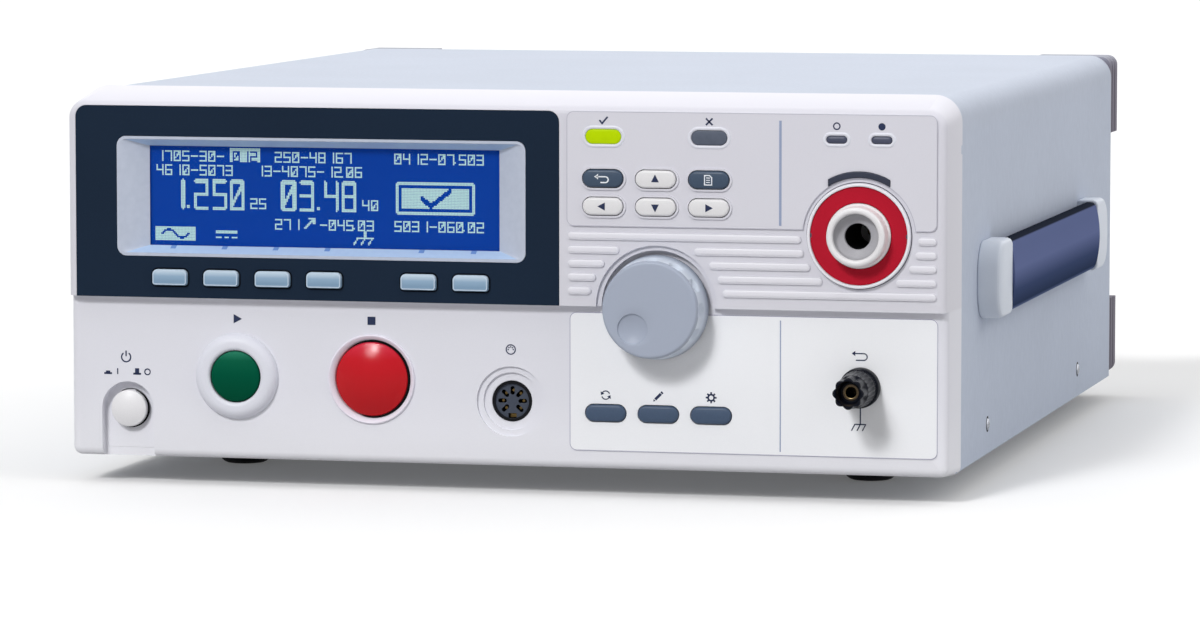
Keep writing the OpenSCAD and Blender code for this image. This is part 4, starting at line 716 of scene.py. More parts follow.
def shown(name: str, mesh: bpy.types.Mesh, finish: Finish) -> bpy.types.Object:
    """A mesh as an object in the scene, with smooth shading between sharp edges.

    Args:
        name: Name of the object.
        mesh: Its mesh.
        finish: Its finish.

    Returns:
        The new object, at the origin.
    """
    mesh.shade_smooth()
    mesh.set_sharp_from_angle(angle=SMOOTH_ANGLE)
    mesh.materials.append(finish.material())
    obj = bpy.data.objects.new(name, mesh)
    bpy.context.scene.collection.objects.link(obj)
    return obj


def register(obj: bpy.types.Object, stands_for: Sequence[str]) -> None:
    """Hides the CAD nodes that a piece stands for, and logs the piece.

    Args:
        obj: The piece.
        stands_for: CAD nodes that it replaces.
    """
    if stands_for:
        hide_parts(*stands_for)
    LOG.info("%s: %d faces", obj.name, len(obj.data.polygons))


def refined(node: str, finish: Finish, round_mm: float = 0.0) -> None:
    """Adds a copy of a CAD node, with merged facets, smooth curves and rounded edges, in the node's place.

    Args:
        node: CAD node.
        finish: Its finish.
        round_mm: Radius of the rounded edges, 0 for none.
    """
    source = frame["nodes"][node]
    mesh = source.data.copy()
    mesh.name = f"{node}_skin"
    mesh.materials.clear()
    work = bmesh.new()
    work.from_mesh(mesh)
    bmesh.ops.remove_doubles(work, verts=work.verts, dist=MERGE)
    bmesh.ops.dissolve_limit(work, angle_limit=FLAT_ANGLE, verts=work.verts, edges=work.edges)
    work.to_mesh(mesh)
    work.free()
    if "custom_normal" in mesh.attributes:
        mesh.attributes.remove(mesh.attributes["custom_normal"])
    obj = shown(f"{node}_skin", mesh, finish)
    if round_mm:
        bevel = obj.modifiers.new("rounded_edges", "BEVEL")
        bevel.width = round_mm * MM
        bevel.segments = ROUND_SEGMENTS
        bevel.limit_method = "ANGLE"
        bevel.angle_limit = ROUND_ANGLE
        bevel.use_clamp_overlap = True
        bevel.harden_normals = False
    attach(obj, source["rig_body"])
    register(obj, [node])


def dressed(node: str, finish: Finish) -> None:
    """Gives a CAD node that keeps its own mesh a finish.

    Args:
        node: CAD node.
        finish: Its finish.
    """
    mesh = frame["nodes"][node].data
    mesh.materials.clear()
    mesh.materials.append(finish.material())
    LOG.info("%s keeps its solid", node)


@dataclass
class Screen:
    """Window with its screen: drawn dots, pane, slope strips with a painted reflection of the screen, and
    ticks.

    Attributes:
        x: Window centre.
        z: Window centre.
        w: Visible width.
        h: Visible height.
        columns: Dots across.
        rows: Dots down.
        dot: Half size of a dot as a share of the pitch, half its thickness and its distance from the face.
        face: Y of the screen module's face.
        pane_front: Y of the pane's front.
        pane_t: Thickness of the pane.
        pane_margin: How much wider and higher the pane is than the visible screen.
        window_w: Width of the window's opening.
        lip: Y where the window's slopes begin.
        slope: Half heights of the slopes' outer and inner edge.
        slope_ends: Distance of the slopes' ends from the opening in front and from the screen behind.
    """

    x: float = -67.25
    z: float = 96.3
    w: float = 132.4
    h: float = 36.5
    columns: int = 240
    rows: int = 64
    dot: tuple[float, float, float] = (0.44, 0.02, 0.03)
    face: float = 2.4
    pane_front: float = 1.4
    pane_t: float = 0.7
    pane_margin: float = 5.6
    window_w: float = 154.4
    lip: float = -3.5
    slope: tuple[float, float] = (20.75, 18.35)
    slope_ends: tuple[float, float] = (2.7, 0.3)
    SEGMENT_ENDS = {"a": ((0, 0), (1, 0)), "b": ((1, 0), (1, 1)), "c": ((1, 1), (1, 2)),
                    "d": ((0, 2), (1, 2)), "e": ((0, 1), (0, 2)), "f": ((0, 0), (0, 1)),
                    "g": ((0, 1), (1, 1)), "s": ((0.1, 1.7), (0.9, 0.3))}
    DIGITS = {"0": "abcdefs", "1": "bc", "2": "abged", "3": "abgcd", "4": "fgbc", "5": "afgcd", "6": "afgedc",
              "7": "abc", "8": "abcdefg", "9": "abcdfg", "-": "g"}
    SMALL = (4.0, 3.0, 0.55, 6.0)
    BIG = (8.0, 8.6, 1.05, 12.4)
    POINT_BACK = 0.02
    POINT_ADVANCE = 0.35
    THIN = 0.6
    TEXTS = ((2.6, 4, "1705-30-"), (2.6, 86, "250-48167"), (2.6, 168, "0412-07.503"),
             (12.4, 4, "4610-5073"), (12.4, 73, "13-4075-12.06"), (45.6, 86, "271"), (45.6, 117, "-045.03"),
             (45.6, 168, "5031-060.02"), (33.4, 69, "25"), (33.4, 146, "40"))
    READINGS = ((22.0, 14, "1.250"), (22.0, 91, "03.48"))

    def build(self) -> None:
        """Builds the screen's pieces."""
        refined("display_panel", NAVY, 0.25)
        refined("display_frame", FUNNEL, 0.3)
        dressed("lcd_module", SCREEN)
        pane = cushion(self.w + self.pane_margin, self.h + self.pane_margin, 0.6, 0.6, self.pane_front,
                       self.pane_front + self.pane_t, 0.1, 0.0)
        piece("display_glass", pane.moved(self.x, 0, self.z), PANE,
              stands_for=["display_pane"])
        piece("window_slopes_painted_reflection", self.slopes(), SLOPE_PAINTED_REFLECTION)
        piece("screen_dots", self.dots(), DOTS)
        piece("screen_ticks", self.ticks(), TICK_INK)

    def lit(self) -> np.ndarray:
        """Mask of the lit dots, with all places in dots from the upper left.

        A dot is lit when its distance to a stroke of a figure is under half the stroke's width.

        Returns:
            Boolean array (rows, columns).
        """
        on = self.bar(55, 1, 76, 10) & ~self.figures("012", 57, 2.6, self.SMALL)
        for texts, font in ((self.TEXTS, self.SMALL), (self.READINGS, self.BIG)):
            for row, x, text in texts:
                on |= self.figures(text, x, row, font)
        on |= self.badge()
        wave_x = np.linspace(8, 26, 40)
        wave = np.stack([wave_x, 56.5 - 2.6 * np.sin((wave_x - 8) / 18 * TAU)], -1)
        on |= self.bar(3, 52, 31, 61) & ~self.lines(wave, 0.7)
        for start, end in ((45, 49), (51, 54), (56, 60)):
            on |= self.bar(start, 58, end, 59)
        arrow = [(107, 51.5), (113, 45.5), (109.5, 45.5), (113, 45.5), (113, 49)]
        ground = [[(148, 53), (148, 57.5)], [(143, 57.5), (153, 57.5)]]
        ground += [[(start, 57.5), (start - 2.2, 61)] for start in (143, 148, 153)]
        for path in (arrow, [(45, 55), (60, 55)], *ground):
            on |= self.lines(path, self.THIN)
        return on

    def badge(self) -> np.ndarray:
        """Double box with a check mark left dark in it.

        Returns:
            Boolean array (rows, columns).
        """
        box = [(170, 22), (222, 22), (222, 41), (170, 41), (170, 22)]
        check = [(187, 31.5), (193, 36.5), (206, 26.5)]
        return self.lines(box, self.THIN) | (self.bar(173, 25, 219, 38) & ~self.lines(check, 1.5))

    def bar(self, x0: float, y0: float, x1: float, y1: float) -> np.ndarray:
        """Mask of the dots inside a box, in dots from the upper left."""
        row, column = np.mgrid[:self.rows, :self.columns] + 0.5
        return (column > x0) & (column < x1) & (row > y0) & (row < y1)

    def lines(self, path: Sequence[Sequence[float]], half: float) -> np.ndarray:
        """Mask of the dots nearer than half to a path.

        Args:
            path: Points in dots from the upper left.
            half: Half the line's width in dots.

        Returns:
            Boolean array (rows, columns).
        """
        path = np.asarray(path, float)
        row, column = np.mgrid[:self.rows, :self.columns] + 0.5
        dot = np.stack([column, row], -1)[:, :, None]
        start, run = path[:-1], np.diff(path, axis=0)
        share = ((dot - start) * run).sum(-1) / np.maximum((run ** 2).sum(-1), 1e-9)
        gap = np.linalg.norm(dot - (start + np.clip(share, 0, 1)[..., None] * run), axis=-1)
        return gap.min(-1) < half

    def figures(self, text: str, x: float, y: float, font: tuple[float, float, float, float]) -> np.ndarray:
        """Mask of a row of figures, each drawn in straight strokes.

        Args:
            text: Figures, dashes and points.
            x: Left end in dots.
            y: Upper edge in dots.
            font: Width, half height, half stroke width and advance.

        Returns:
            Boolean array (rows, columns).
        """
        w, half_h, half, advance = font
        on = np.zeros((self.rows, self.columns), bool)
        for figure in text:
            if figure == ".":
                spot = x - advance * self.POINT_BACK
                on |= self.bar(spot - half, y + 2 * half_h - half, spot + half, y + 2 * half_h + half)
                x += advance * self.POINT_ADVANCE
                continue
            for name in self.DIGITS[figure]:
                ends = np.array(self.SEGMENT_ENDS[name]) * (w, half_h) + (x + 0.5, y + 0.5)
                on |= self.lines(ends, half)
            x += advance
        return on

    def dots(self) -> Patch:
        """Each lit dot as a thin block in front of the screen's face.

        Returns:
            Closed blocks as one patch.
        """
        row, column = np.nonzero(self.lit())
        pitch = np.array([self.w / self.columns, self.h / self.rows])
        share, thin, gap = self.dot
        x = self.x - self.w / 2 + (column + 0.5) * pitch[0]
        z = self.z + self.h / 2 - (row + 0.5) * pitch[1]
        corner = np.array([(sx, sy, sz) for sx in (-1, 1) for sy in (-1, 1) for sz in (-1, 1)], float)
        size = np.array([pitch[0] * share, thin, pitch[1] * share])
        centre = np.stack([x, np.full(len(x), self.face - gap), z], -1)
        points = (centre[:, None] + corner * size).reshape(-1, 3)
        side = np.array([(0, 1, 3, 2), (4, 6, 7, 5), (0, 4, 5, 1), (2, 3, 7, 6), (0, 2, 6, 4), (1, 5, 7, 3)])
        return Patch(points, [(np.arange(len(x))[:, None, None] * 8 + side).reshape(-1, 4)])

    def strip(self, side: int, outer: tuple[float, float], inner: tuple[float, float], share: float,
              lift: float) -> Patch:
        """Thin slab on the window's upper (side 1) or lower (-1) slope.

        Args:
            side: Which slope.
            outer: X of the ends of the edge nearer to the front.
            inner: X of the ends of the edge at the screen.
            share: Part of the slope that it covers, from the screen outward.
            lift: How far it stands in front of the slope.

        Returns:
            A closed patch.
        """
        near = np.array([self.slope[1], self.pane_front - 0.2])
        far = np.array([self.slope[0], self.lip])
        edge = near + (far - near) * share
        ring = np.array([(outer[0], edge[1], side * edge[0]), (outer[1], edge[1], side * edge[0]),
                         (inner[1], near[1], side * near[0]), (inner[0], near[1], side * near[0])])
        rise = np.array([(0, -0.5 * lift, -0.9 * lift * side), (0, 0.3, 0.3 * side)])
        return capped(ring[None] + rise[:, None] + (self.x, 0, self.z))

    def slopes(self) -> Patch:
        """Strips on the window's upper and lower slope, in a pale blue that paints the screen's reflection on
        them.
        """
        outer, inner = self.window_w / 2 - self.slope_ends[0], self.w / 2 + self.slope_ends[1]
        return joined([self.strip(side, (-outer, outer), (-inner, inner), 1.0, 0.07) for side in (-1, 1)])

    def ticks(self) -> Patch:
        """Six small marks on the lower slope, one above each soft key."""
        spans = [(x - self.x - 1.0, x - self.x + 1.0) for x in SoftKeys().centres()]
        return joined([self.strip(-1, span, span, 0.42, 0.12) for span in spans])


@dataclass
class SoftKeys:
    """Six keys under the screen, with rounder upper corners.

    Attributes:
        x: Middle of the row.
        z: Middle of the row.
        w: Width of a key.
        h: Height of a key.
        corner: Radii of a key's lower and upper corners.
        pitch: Spacing of the keys.
        group_gap: Added space before the last two.
        panel: Y of the panel's face.
        front: Y of a key's face.
        back: Y of a key's back.
    """

    x: float = -67.25
    z: float = 66.7
    w: float = 13.3
    h: float = 5.8
    corner: tuple[float, float] = (1.1, 1.9)
    pitch: float = 19.55
    group_gap: float = 16.0
    panel: float = -3.8
    front: float = -5.4
    back: float = -0.5

    def centres(self) -> np.ndarray:
        """X of the six keys, the last two set apart."""
        span = 5 * self.pitch + self.group_gap
        return self.x - span / 2 + np.arange(6) * self.pitch + np.array([0, 0, 0, 0, 1, 1]) * self.group_gap

    def build(self) -> None:
        """Builds the keys, the painted highlight lines on their edges and the painted shade rings round them.
        """
        cap = cushion(self.w, self.h, *self.corner, self.front, self.back, 0.7, 0.12)
        key = joined([cap, turned([(STEM_R, self.back), (STEM_R, STEM_END)])])
        # Painted highlight line on each key's front edge.
        edge = self.line(-0.9, -0.4, 0.34, self.front + 0.03, 0.05)
        # Painted shade ring round each key on the panel.
        shade_ring = self.line(0.7, 0.3, 0.6, self.panel, HAIR_LIFT)
        for i, x in enumerate(self.centres()):
            name = f"soft_key_{i + 1}"
            piece(f"{name}_cap", key.moved(x, 0, self.z), SOFT_KEY_PAINTED_LIGHT, name, [name])
            piece(f"{name}_edge", edge.moved(x, 0, self.z), KEY_EDGE_HIGHLIGHT, name)
        shade_rings = joined([shade_ring.moved(x, 0, self.z) for x in self.centres()])
        piece("soft_key_shade_rings", shade_rings, KEY_GAP_SHADE)

    def line(self, grow: float, round_by: float, width: float, face: float, lift: float) -> Patch:
        """Line along a key's outline.

        Args:
            grow: How much wider and higher than the key it runs.
            round_by: What is added to the corners' radii.
            width: Width of the line.
            face: Y of the face it lies on.
            lift: Height of the line.

        Returns:
            A closed patch about the origin.
        """
        low, high = self.corner
        outline = rounded(self.w + grow, self.h + grow, low + round_by, high + round_by)
        return stroke(outline, width, face, lift, closed=True)


@dataclass
class KeyPad:
    """Navigation keys on their pad and function keys on the label film, with their symbols.

    Attributes:
        columns: X of the keys.
        nav_z: Height of the upper row of navigation keys.
        nav_pitch: Spacing of their rows.
        nav: Width, height, Y of the face and Y of the flange of a navigation key.
        func_z: Height of the function keys.
        func: The same four sizes of a function key.
        caption_z: Height of the symbols over the function keys.
        film: Y of the label film's face.
        symbol_face: Place of a symbol in front of a navigation key's edge, on its bulge.
    """

    columns: tuple[float, float, float] = (38.85, 58.3, 77.75)
    nav_z: float = 105.4
    nav_pitch: float = 10.0
    nav: tuple[float, float, float, float] = (14.8, 6.3, -5.8, -0.5)
    func_z: float = 20.4
    func: tuple[float, float, float, float] = (14.9, 6.1, -1.4, 3.1)
    caption_z: float = 26.9
    film: float = -0.3
    symbol_face: float = -0.13
    ARROWS = {"up_key": 90, "left_key": 180, "down_key": 270, "right_key": 0}

    def build(self) -> None:
        """Builds the keys and the symbols on and over them."""
        names = (("back_key", "up_key", "page_key"), ("left_key", "down_key", "right_key"))
        for row, keys in enumerate(names):
            z = self.nav_z - row * self.nav_pitch
            for x, key in zip(self.columns, keys):
                light = key in self.ARROWS
                self.key(key, x, z, self.nav, LIGHT_KEY if light else DARK_KEY,
                         "light_key_plastic" if light else "dark_key_plastic")
                symbol = self.symbol(key).moved(x, self.nav[2], z)
                piece(f"{key}_symbol", symbol, INK if light else PALE_INK, key)
        for x, key in zip(self.columns, ("mode_key", "edit_key", "setup_key")):
            self.key(key, x, self.func_z, self.func, FUNCTION_KEY, "function_key_plastic")
            piece(f"{key}_caption", self.symbol(key).moved(x, self.film, self.caption_z), INK)

    @staticmethod
    def key(name: str, x: float, z: float, size: tuple[float, float, float, float], finish: Finish,
            slot: str) -> None:
        """Builds one pill-shaped key with its stem.

        Args:
            name: CAD node and body.
            x: Centre.
            z: Centre.
            size: Width, height, Y of the face and Y of the flange.
            finish: Its finish.
            slot: Material slot of the record; not used.
        """
        cap = pill(*size, 0.9, 0.15)
        stem = turned([(STEM_R, size[3]), (STEM_R, STEM_END)])
        piece(f"{name}_cap", joined([cap, stem]).moved(x, 0, z), finish, name, [name])

    def symbol(self, key: str) -> Patch:
        """Symbol of a key about the origin, on the face at Y = 0.

        Args:
            key: Name of the key.

        Returns:
            A closed patch.
        """
        face = self.symbol_face
        if key in self.ARROWS:
            turn = np.radians(self.ARROWS[key] + np.array([0, 125, 235]))
            return filled(1.75 * np.stack([np.cos(turn), np.sin(turn)], -1), face)
        if key == "back_key":
            hook = np.concatenate([[(-2.2, 0.7), (1.2, 0.7)], arc(1.2, -0.35, 1.05, 90, -90), [(-0.6, -1.4)]])
            head = [(-2.9, 0.7), (-1.5, 1.7), (-1.5, -0.3)]
            return joined([stroke(hook, 0.45, face), filled(head, face)])
        if key == "page_key":
            sheet = [(-1.3, -1.7), (1.3, -1.7), (1.3, 0.9), (0.5, 1.7), (-1.3, 1.7)]
            rows = [stroke([(-0.7, z), (0.7, z)], 0.3, face) for z in (-0.8, 0.0, 0.8)]
            return joined([stroke(sheet, 0.38, face, closed=True), *rows])
        if key == "mode_key":
            loops = [stroke(arc(0, 0, 1.5, start, start + 130), 0.4, 0) for start in (20, 200)]
            return joined(loops + [filled(self.tip(1.5, end), 0) for end in (150, 330)])
        if key == "edit_key":
            body = [(-0.8, -1.5), (1.3, 0.6), (0.6, 1.3), (-1.5, -0.8)]
            nib = [(-1.9, -1.9), (-1.0, -1.7), (-1.7, -1.0)]
            end = [(1.45, 0.75), (1.9, 1.2), (1.2, 1.9), (0.75, 1.45)]
            return joined([filled(outline, 0) for outline in (body, nib, end)])
        ways = np.arange(8) * TAU / 8
        teeth = [stroke([(1.2 * c, 1.2 * s), (2.0 * c, 2.0 * s)], 0.6, 0)
                 for c, s in zip(np.cos(ways), np.sin(ways))]
        return joined([stroke(circle(1.1), 0.6, 0, closed=True), *teeth])

    @staticmethod
    def tip(r: float, angle: float) -> np.ndarray:
        """Arrow head at the end of a turning arrow.

        Args:
            r: Radius of the arrow's arc.
            angle: Direction of its end in degrees.

        Returns:
            Three points.
        """
        a = math.radians(angle)
        outward, along = np.array([math.cos(a), math.sin(a)]), np.array([-math.sin(a), math.cos(a)])
        ends = ((r, 0.9), (r + 0.8, -0.2), (r - 0.8, -0.2))
        return np.stack([outward * out + along * ahead for out, ahead in ends])


@dataclass
class Lamps:
    """Pass and fail lamps, the two small lamps, their light rims and symbols.

    Attributes:
        z: Height of the lamps.
        pad: Y of the raised pad's face.
        pass_x: Centre of the pass lamp.
        fail_x: Centre of the fail lamp.
        small_x: Centres of the small lamps.
        size: Width and height of the pass and fail lamps.
        small_size: Width and height of the small lamps.
        caption_z: Height of the symbols over the pass and fail lamps.
    """

    z: float = 120.4
    pad: float = -4.2
    pass_x: float = 38.85
    fail_x: float = 77.75
    small_x: tuple[float, float] = (124.1, 140.4)
    size: tuple[float, float] = (13.1, 5.2)
    small_size: tuple[float, float] = (7.4, 2.6)
    caption_z: float = 126.2

    def build(self) -> None:
        """Builds the lenses, rims and symbols."""
        lens = self.lens(*self.size)
        piece("pass_lens", lens.moved(self.pass_x, 0, self.z), LIT_LAMP,
              stands_for=["pass_lamp"])
        piece("fail_lens", lens.moved(self.fail_x, 0, self.z), GREY_LAMP,
              stands_for=["status_lamps"])
        small = [self.lens(*self.small_size).moved(x, 0, self.z) for x in self.small_x]
        piece("small_lenses", joined(small), DARK_LAMP)
        rims = [self.rim(*self.size).moved(x, 0, self.z) for x in (self.pass_x, self.fail_x)]
        rims += [self.rim(*self.small_size).moved(x, 0, self.z) for x in self.small_x]
        piece("lamp_rims", joined(rims), WHITE)
        piece("lamp_symbols", self.symbols(), INK)

    def lens(self, w: float, h: float) -> Patch:
        """Pill-shaped lens with a soft edge."""
        return pill(w, h, self.pad - 0.3, 1.9, 0.5, 0.15)

    def rim(self, w: float, h: float) -> Patch:
        """Half-round rim round a lens: its distance from the lens follows a cosine and its height a sine.

        Args:
            w: Width of the lens.
            h: Height of the lens.

        Returns:
            A closed patch about the origin.
        """
        rings = []
        for angle in np.linspace(0, np.pi, 7):
            grow = 0.75 + 0.65 * math.cos(angle)
            shape = rounded(w + 2 * grow, h + 2 * grow, h / 2 + grow - 0.01)
            deep = np.full(len(shape), self.pad + 0.1 - 0.45 * math.sin(angle))
            rings.append(np.stack([shape[:, 0], deep, shape[:, 1]], -1))
        return skin(np.stack(rings), wrap=True)

    def symbols(self) -> Patch:
        """Check mark, cross, hollow dot and full dot, each over its lamp.

        Returns:
            Closed shells as one patch.
        """
        check = stroke([(-1.4, 0.1), (-0.4, -1.1), (1.6, 1.3)], 0.6, self.pad)
        cross = joined([stroke([(-1.2, s * 1.2), (1.2, -s * 1.2)], 0.6, self.pad) for s in (-1, 1)])
        hollow = stroke(circle(1.15), 0.45, self.pad, closed=True)
        full = filled(circle(1.3), self.pad)
        low = self.caption_z - 1
        places = ((check, self.pass_x, self.caption_z), (cross, self.fail_x, self.caption_z),
                  (hollow, self.small_x[0], low), (full, self.small_x[1], low))
        return joined([mark.moved(x, 0, z) for mark, x, z in places])


@dataclass
class Knob:
    """Turning knob with scallops behind its front edge and a finger dimple.

    Attributes:
        x: Axis.
        z: Axis.
        front: Y of the face.
        back: Y of the rim's back.
        face_r: Radius of the face.
        base_r: Radius at the back.
        edge: Radius of the rounded front edge.
        edge_inset: Distance from the face's radius to where the edge begins.
        dimple: Radius, depth, distance from the axis and direction in degrees of the dimple.
        dimple_wall: Height of the dimple's upright wall.
        dimple_lip: How far the dimple's soft lip reaches outward.
        hollow: Depth of the hollow back's floor behind the face.
        scallops: Number, cutter radius and depth of the scallops.
        scallop_reach: Where the scallops begin and end behind the face.
        scallop_fade: Lengths over which they fade there.
        soft: Width of the blend between a scallop and the flank.
        around: Points round the axis.
    """

    x: float = 58.3
    z: float = 59.2
    front: float = -15.0
    back: float = -1.3
    face_r: float = 17.4
    base_r: float = 19.0
    edge: float = 0.9
    edge_inset: float = 0.95
    dimple: tuple[float, float, float, float] = (5.4, 1.8, 9.3, 228.0)
    dimple_wall: float = 0.7
    dimple_lip: float = 0.3
    hollow: float = 4.8
    scallops: tuple[int, float, float] = (12, 3.2, 0.9)
    scallop_reach: tuple[float, float] = (2.6, 5.4)
    scallop_fade: tuple[float, float] = (0.9, 1.4)
    soft: float = 0.12
    around: int = 288

    def build(self) -> None:
        """Builds the knob with its hub."""
        hub = turned([(3.1, -10.0), (5.4, -10.0), (5.4, -3.7), (3.1, -3.7)], self.x, self.z, closed=True)
        piece("knob_grip", joined([self.grip(), hub]), KNOB_PAINTED_LIGHT, "knob", ["knob"])
        dressed("encoder_shaft", STEEL)

    def grip(self) -> Patch:
        """Face, rim and hollow back as one grid.

        Rings start at the dimple's middle, follow its bowl, open out to the face's edge circle, and run over
        the rounded edge down the flank. A little behind the face the flank is held inside the scallop cutters
        by a soft minimum of its own radius and the cutters' distance along each ray.

        Returns:
            A closed patch.
        """
        angle = np.linspace(0, TAU, self.around, endpoint=False)
        ray = np.stack([np.cos(angle), np.sin(angle)], -1)
        r, depth, far, way = self.dimple
        middle = far * np.array([math.cos(math.radians(way)), math.sin(math.radians(way))])
        lip = middle + ray * (r + self.dimple_lip)
        start = self.face_r - self.edge_inset
        rows = [(middle + ray * r * share, depth - (depth - self.dimple_wall) * share ** 2)
                for share in (0.15, 0.35, 0.55, 0.75, 0.9, 0.97)]
        rows += [(middle + ray * (r + grow), y) for grow, y in ((0.0, self.dimple_wall - 0.1), (0.06, 0.22),
                                                                (0.14, 0.07), (self.dimple_lip, 0.0))]
        edge = self.flank(angle, start, 0.0)[:, None] * ray
        rows += [(lip * (1 - share) + edge * share, 0.0) for share in (0.2, 0.45, 0.7, 0.9, 1.0)]
        for turn in np.radians([15, 30, 45, 60, 75, 90]):
            y = self.edge * (1 - math.cos(turn))
            rows.append((self.flank(angle, start + self.edge * math.sin(turn), y)[:, None] * ray, y))
        deep = self.back - self.front
        for y in np.linspace(1.4, deep - 0.8, 18):
            plain = self.face_r + (self.base_r - self.face_r) * y / deep
            rows.append((self.flank(angle, plain, y)[:, None] * ray, y))
        rows += [(ray * radius, y) for radius, y in (
            (self.base_r - 0.2, deep - 0.2), (self.base_r - 0.7, deep), (self.base_r - 2.4, deep),
            (self.base_r - 2.9, deep - 0.6), (self.face_r - 2.4, self.hollow))]
        flat = np.stack([ring for ring, _ in rows])
        y = np.broadcast_to(self.front + np.array([y for _, y in rows])[:, None], flat.shape[:2])
        return capped(np.stack([flat[..., 0] + self.x, y, flat[..., 1] + self.z], -1),
                      first=np.array([self.x + middle[0], self.front + depth, self.z + middle[1]]),
                      last=np.array([self.x, self.front + self.hollow, self.z]))

    def flank(self, angle: np.ndarray, plain: float, y: float) -> np.ndarray:
        """Radius along each ray: the plain one, held inside the scallop cutters where they reach.

        Args:
            angle: Ray angles.
            plain: Radius without scallops.
            y: Depth of the ring behind the face.

        Returns:
            Radius for each ray.
        """
        count, cutter, depth = self.scallops
        pitch = TAU / count
        off = (angle + pitch / 2) % pitch - pitch / 2
        axis = self.face_r + cutter - depth
        inside = np.maximum(cutter ** 2 - (axis * np.sin(off)) ** 2, 0)
        cut = np.where(inside > 0, axis * np.cos(off) - np.sqrt(inside), self.base_r + 3)
        before = (self.scallop_reach[0] - y) / self.scallop_fade[0]
        beyond = (y - self.scallop_reach[1]) / self.scallop_fade[1]
        cut = cut + max(0.0, before, beyond) ** 2
        low = np.minimum(plain, cut)
        high = np.maximum(plain, cut)
        return low - self.soft * np.log1p(np.exp(-(high - low) / self.soft))


@dataclass
class HighVoltageSocket:
    """Red ring, white collar with its funnel, contact, indicator, the moulded rim in a painted highlight, and
    a painted shade line round the rim.

    Attributes:
        x: Axis.
        z: Axis.
        face: Y of the bezel's upper plane.
        ring: Inner and outer radius of the red ring.
        ring_t: Thickness of the red ring.
        ring_edge: Bevel of its front edges.
        rim_r: Radius of the middle of the rim round it.
        shade_line_r: Radius of the painted shade line round the rim.
        reach: How far the collar stands in front of the face.
        bore_r: Radius of the bore.
    """

    x: float = 132.25
    z: float = 86.3
    face: float = -3.6
    ring: tuple[float, float] = (11.75, 17.55)
    ring_t: float = 1.1
    ring_edge: float = 0.2
    rim_r: float = 18.22
    shade_line_r: float = 18.98
    reach: float = 8.0
    bore_r: float = 4.7

    def build(self) -> None:
        """Builds the ring, the rim round it in a painted highlight with a painted shade line, and the collar.
        """
        face, mouth = self.face, self.face - self.reach
        # The rim round the red ring, in a whiter finish as a painted highlight.
        rim = np.concatenate([[(self.rim_r - 0.6, face)], arc(self.rim_r, face - 1.2, 0.6, 180, 360, 11),
                              [(self.rim_r + 0.6, face)]])
        self.ringed("socket_rim", rim, RIM_PAINTED_HIGHLIGHT)
        # Painted shade: a dark line round the rim and dark marks where the ring has notches.
        gap = stroke(circle(self.shade_line_r, SEGMENTS) + (self.x, self.z), 0.3, face, 0.04, closed=True)
        notches = [filled(rounded(0.5, 1.5, 0.2) + (self.x + side * 17.3, self.z), face - self.ring_t)
                   for side in (-1, 1)]
        piece("socket_shade_lines", joined([gap, *notches]), RIM_SHADE_INK)
        inner, outer = self.ring
        top, edge = face - self.ring_t, self.ring_edge
        ring = [(inner, face), (outer, face), (outer, top + edge), (outer - edge, top), (inner + edge, top),
                (inner, top + edge)]
        self.ringed("red_ring_plate", ring, RED_RING, ["hv_ring"])
        self.ringed("socket_collar", self.collar(), COLLAR, ["hv_collar"])
        # Painted shade: a greyer liner over the collar's bore.
        wall = np.array([(8.1, mouth + 1.5), (7.95, mouth + 3.4), (7.7, mouth + 3.82), (7.25, mouth + 4.1),
                         (5.3, mouth + 4.8), (4.85, mouth + 5.0), (4.66, mouth + 5.4)])
        self.ringed("collar_bore_painted_shade", np.concatenate([wall, wall[::-1] + 0.12]), COLLAR_BORE_SHADE)
        # Painted shade: a near-black liner inside the socket's hole.
        bore = [(4.62, face - 2.4), (4.62, face + 25.5), (4.4, face + 25.5), (4.4, face - 2.2)]
        self.ringed("socket_bore_shade_liner", bore, SHADE_BLACK)
        dressed("hv_contact", STUD_PAINTED_SHADE)
        refined("hv_indicator", SMOKED, 0.3)

    def ringed(self, name: str, profile: Sequence[Sequence[float]], finish: Finish,
               stands_for: Sequence[str] = ()) -> None:
        """Adds a closed profile, carried round the socket's axis, as a piece with what piece takes."""
        piece(name, turned(profile, self.x, self.z, closed=True), finish, stands_for=stands_for)

    def collar(self) -> np.ndarray:
        """Profile of the collar: stepped outside, rounded lip, funnel, bore and neck.

        Returns:
            Loop of (radius, y).
        """
        face, front, back = self.face, self.face - self.reach, self.face + 30.0
        step = [(11.6, face), (11.6, face - 1.4), (11.3, face - 1.8), (10.9, face - 2.1), (10.75, face - 2.6)]
        lip = arc(9.4, front + 1.2, 1.2, 0, -180, 13)
        funnel = [(8.05, front + 3.4), (7.8, front + 3.9), (7.3, front + 4.2), (5.3, front + 4.9),
                  (4.9, front + 5.1), (self.bore_r, front + 5.5)]
        neck = [(self.bore_r, back - 4.0), (2.1, back - 4.0), (2.1, back), (9.0, back), (9.0, face)]
        return np.concatenate([step, lip, funnel, neck])


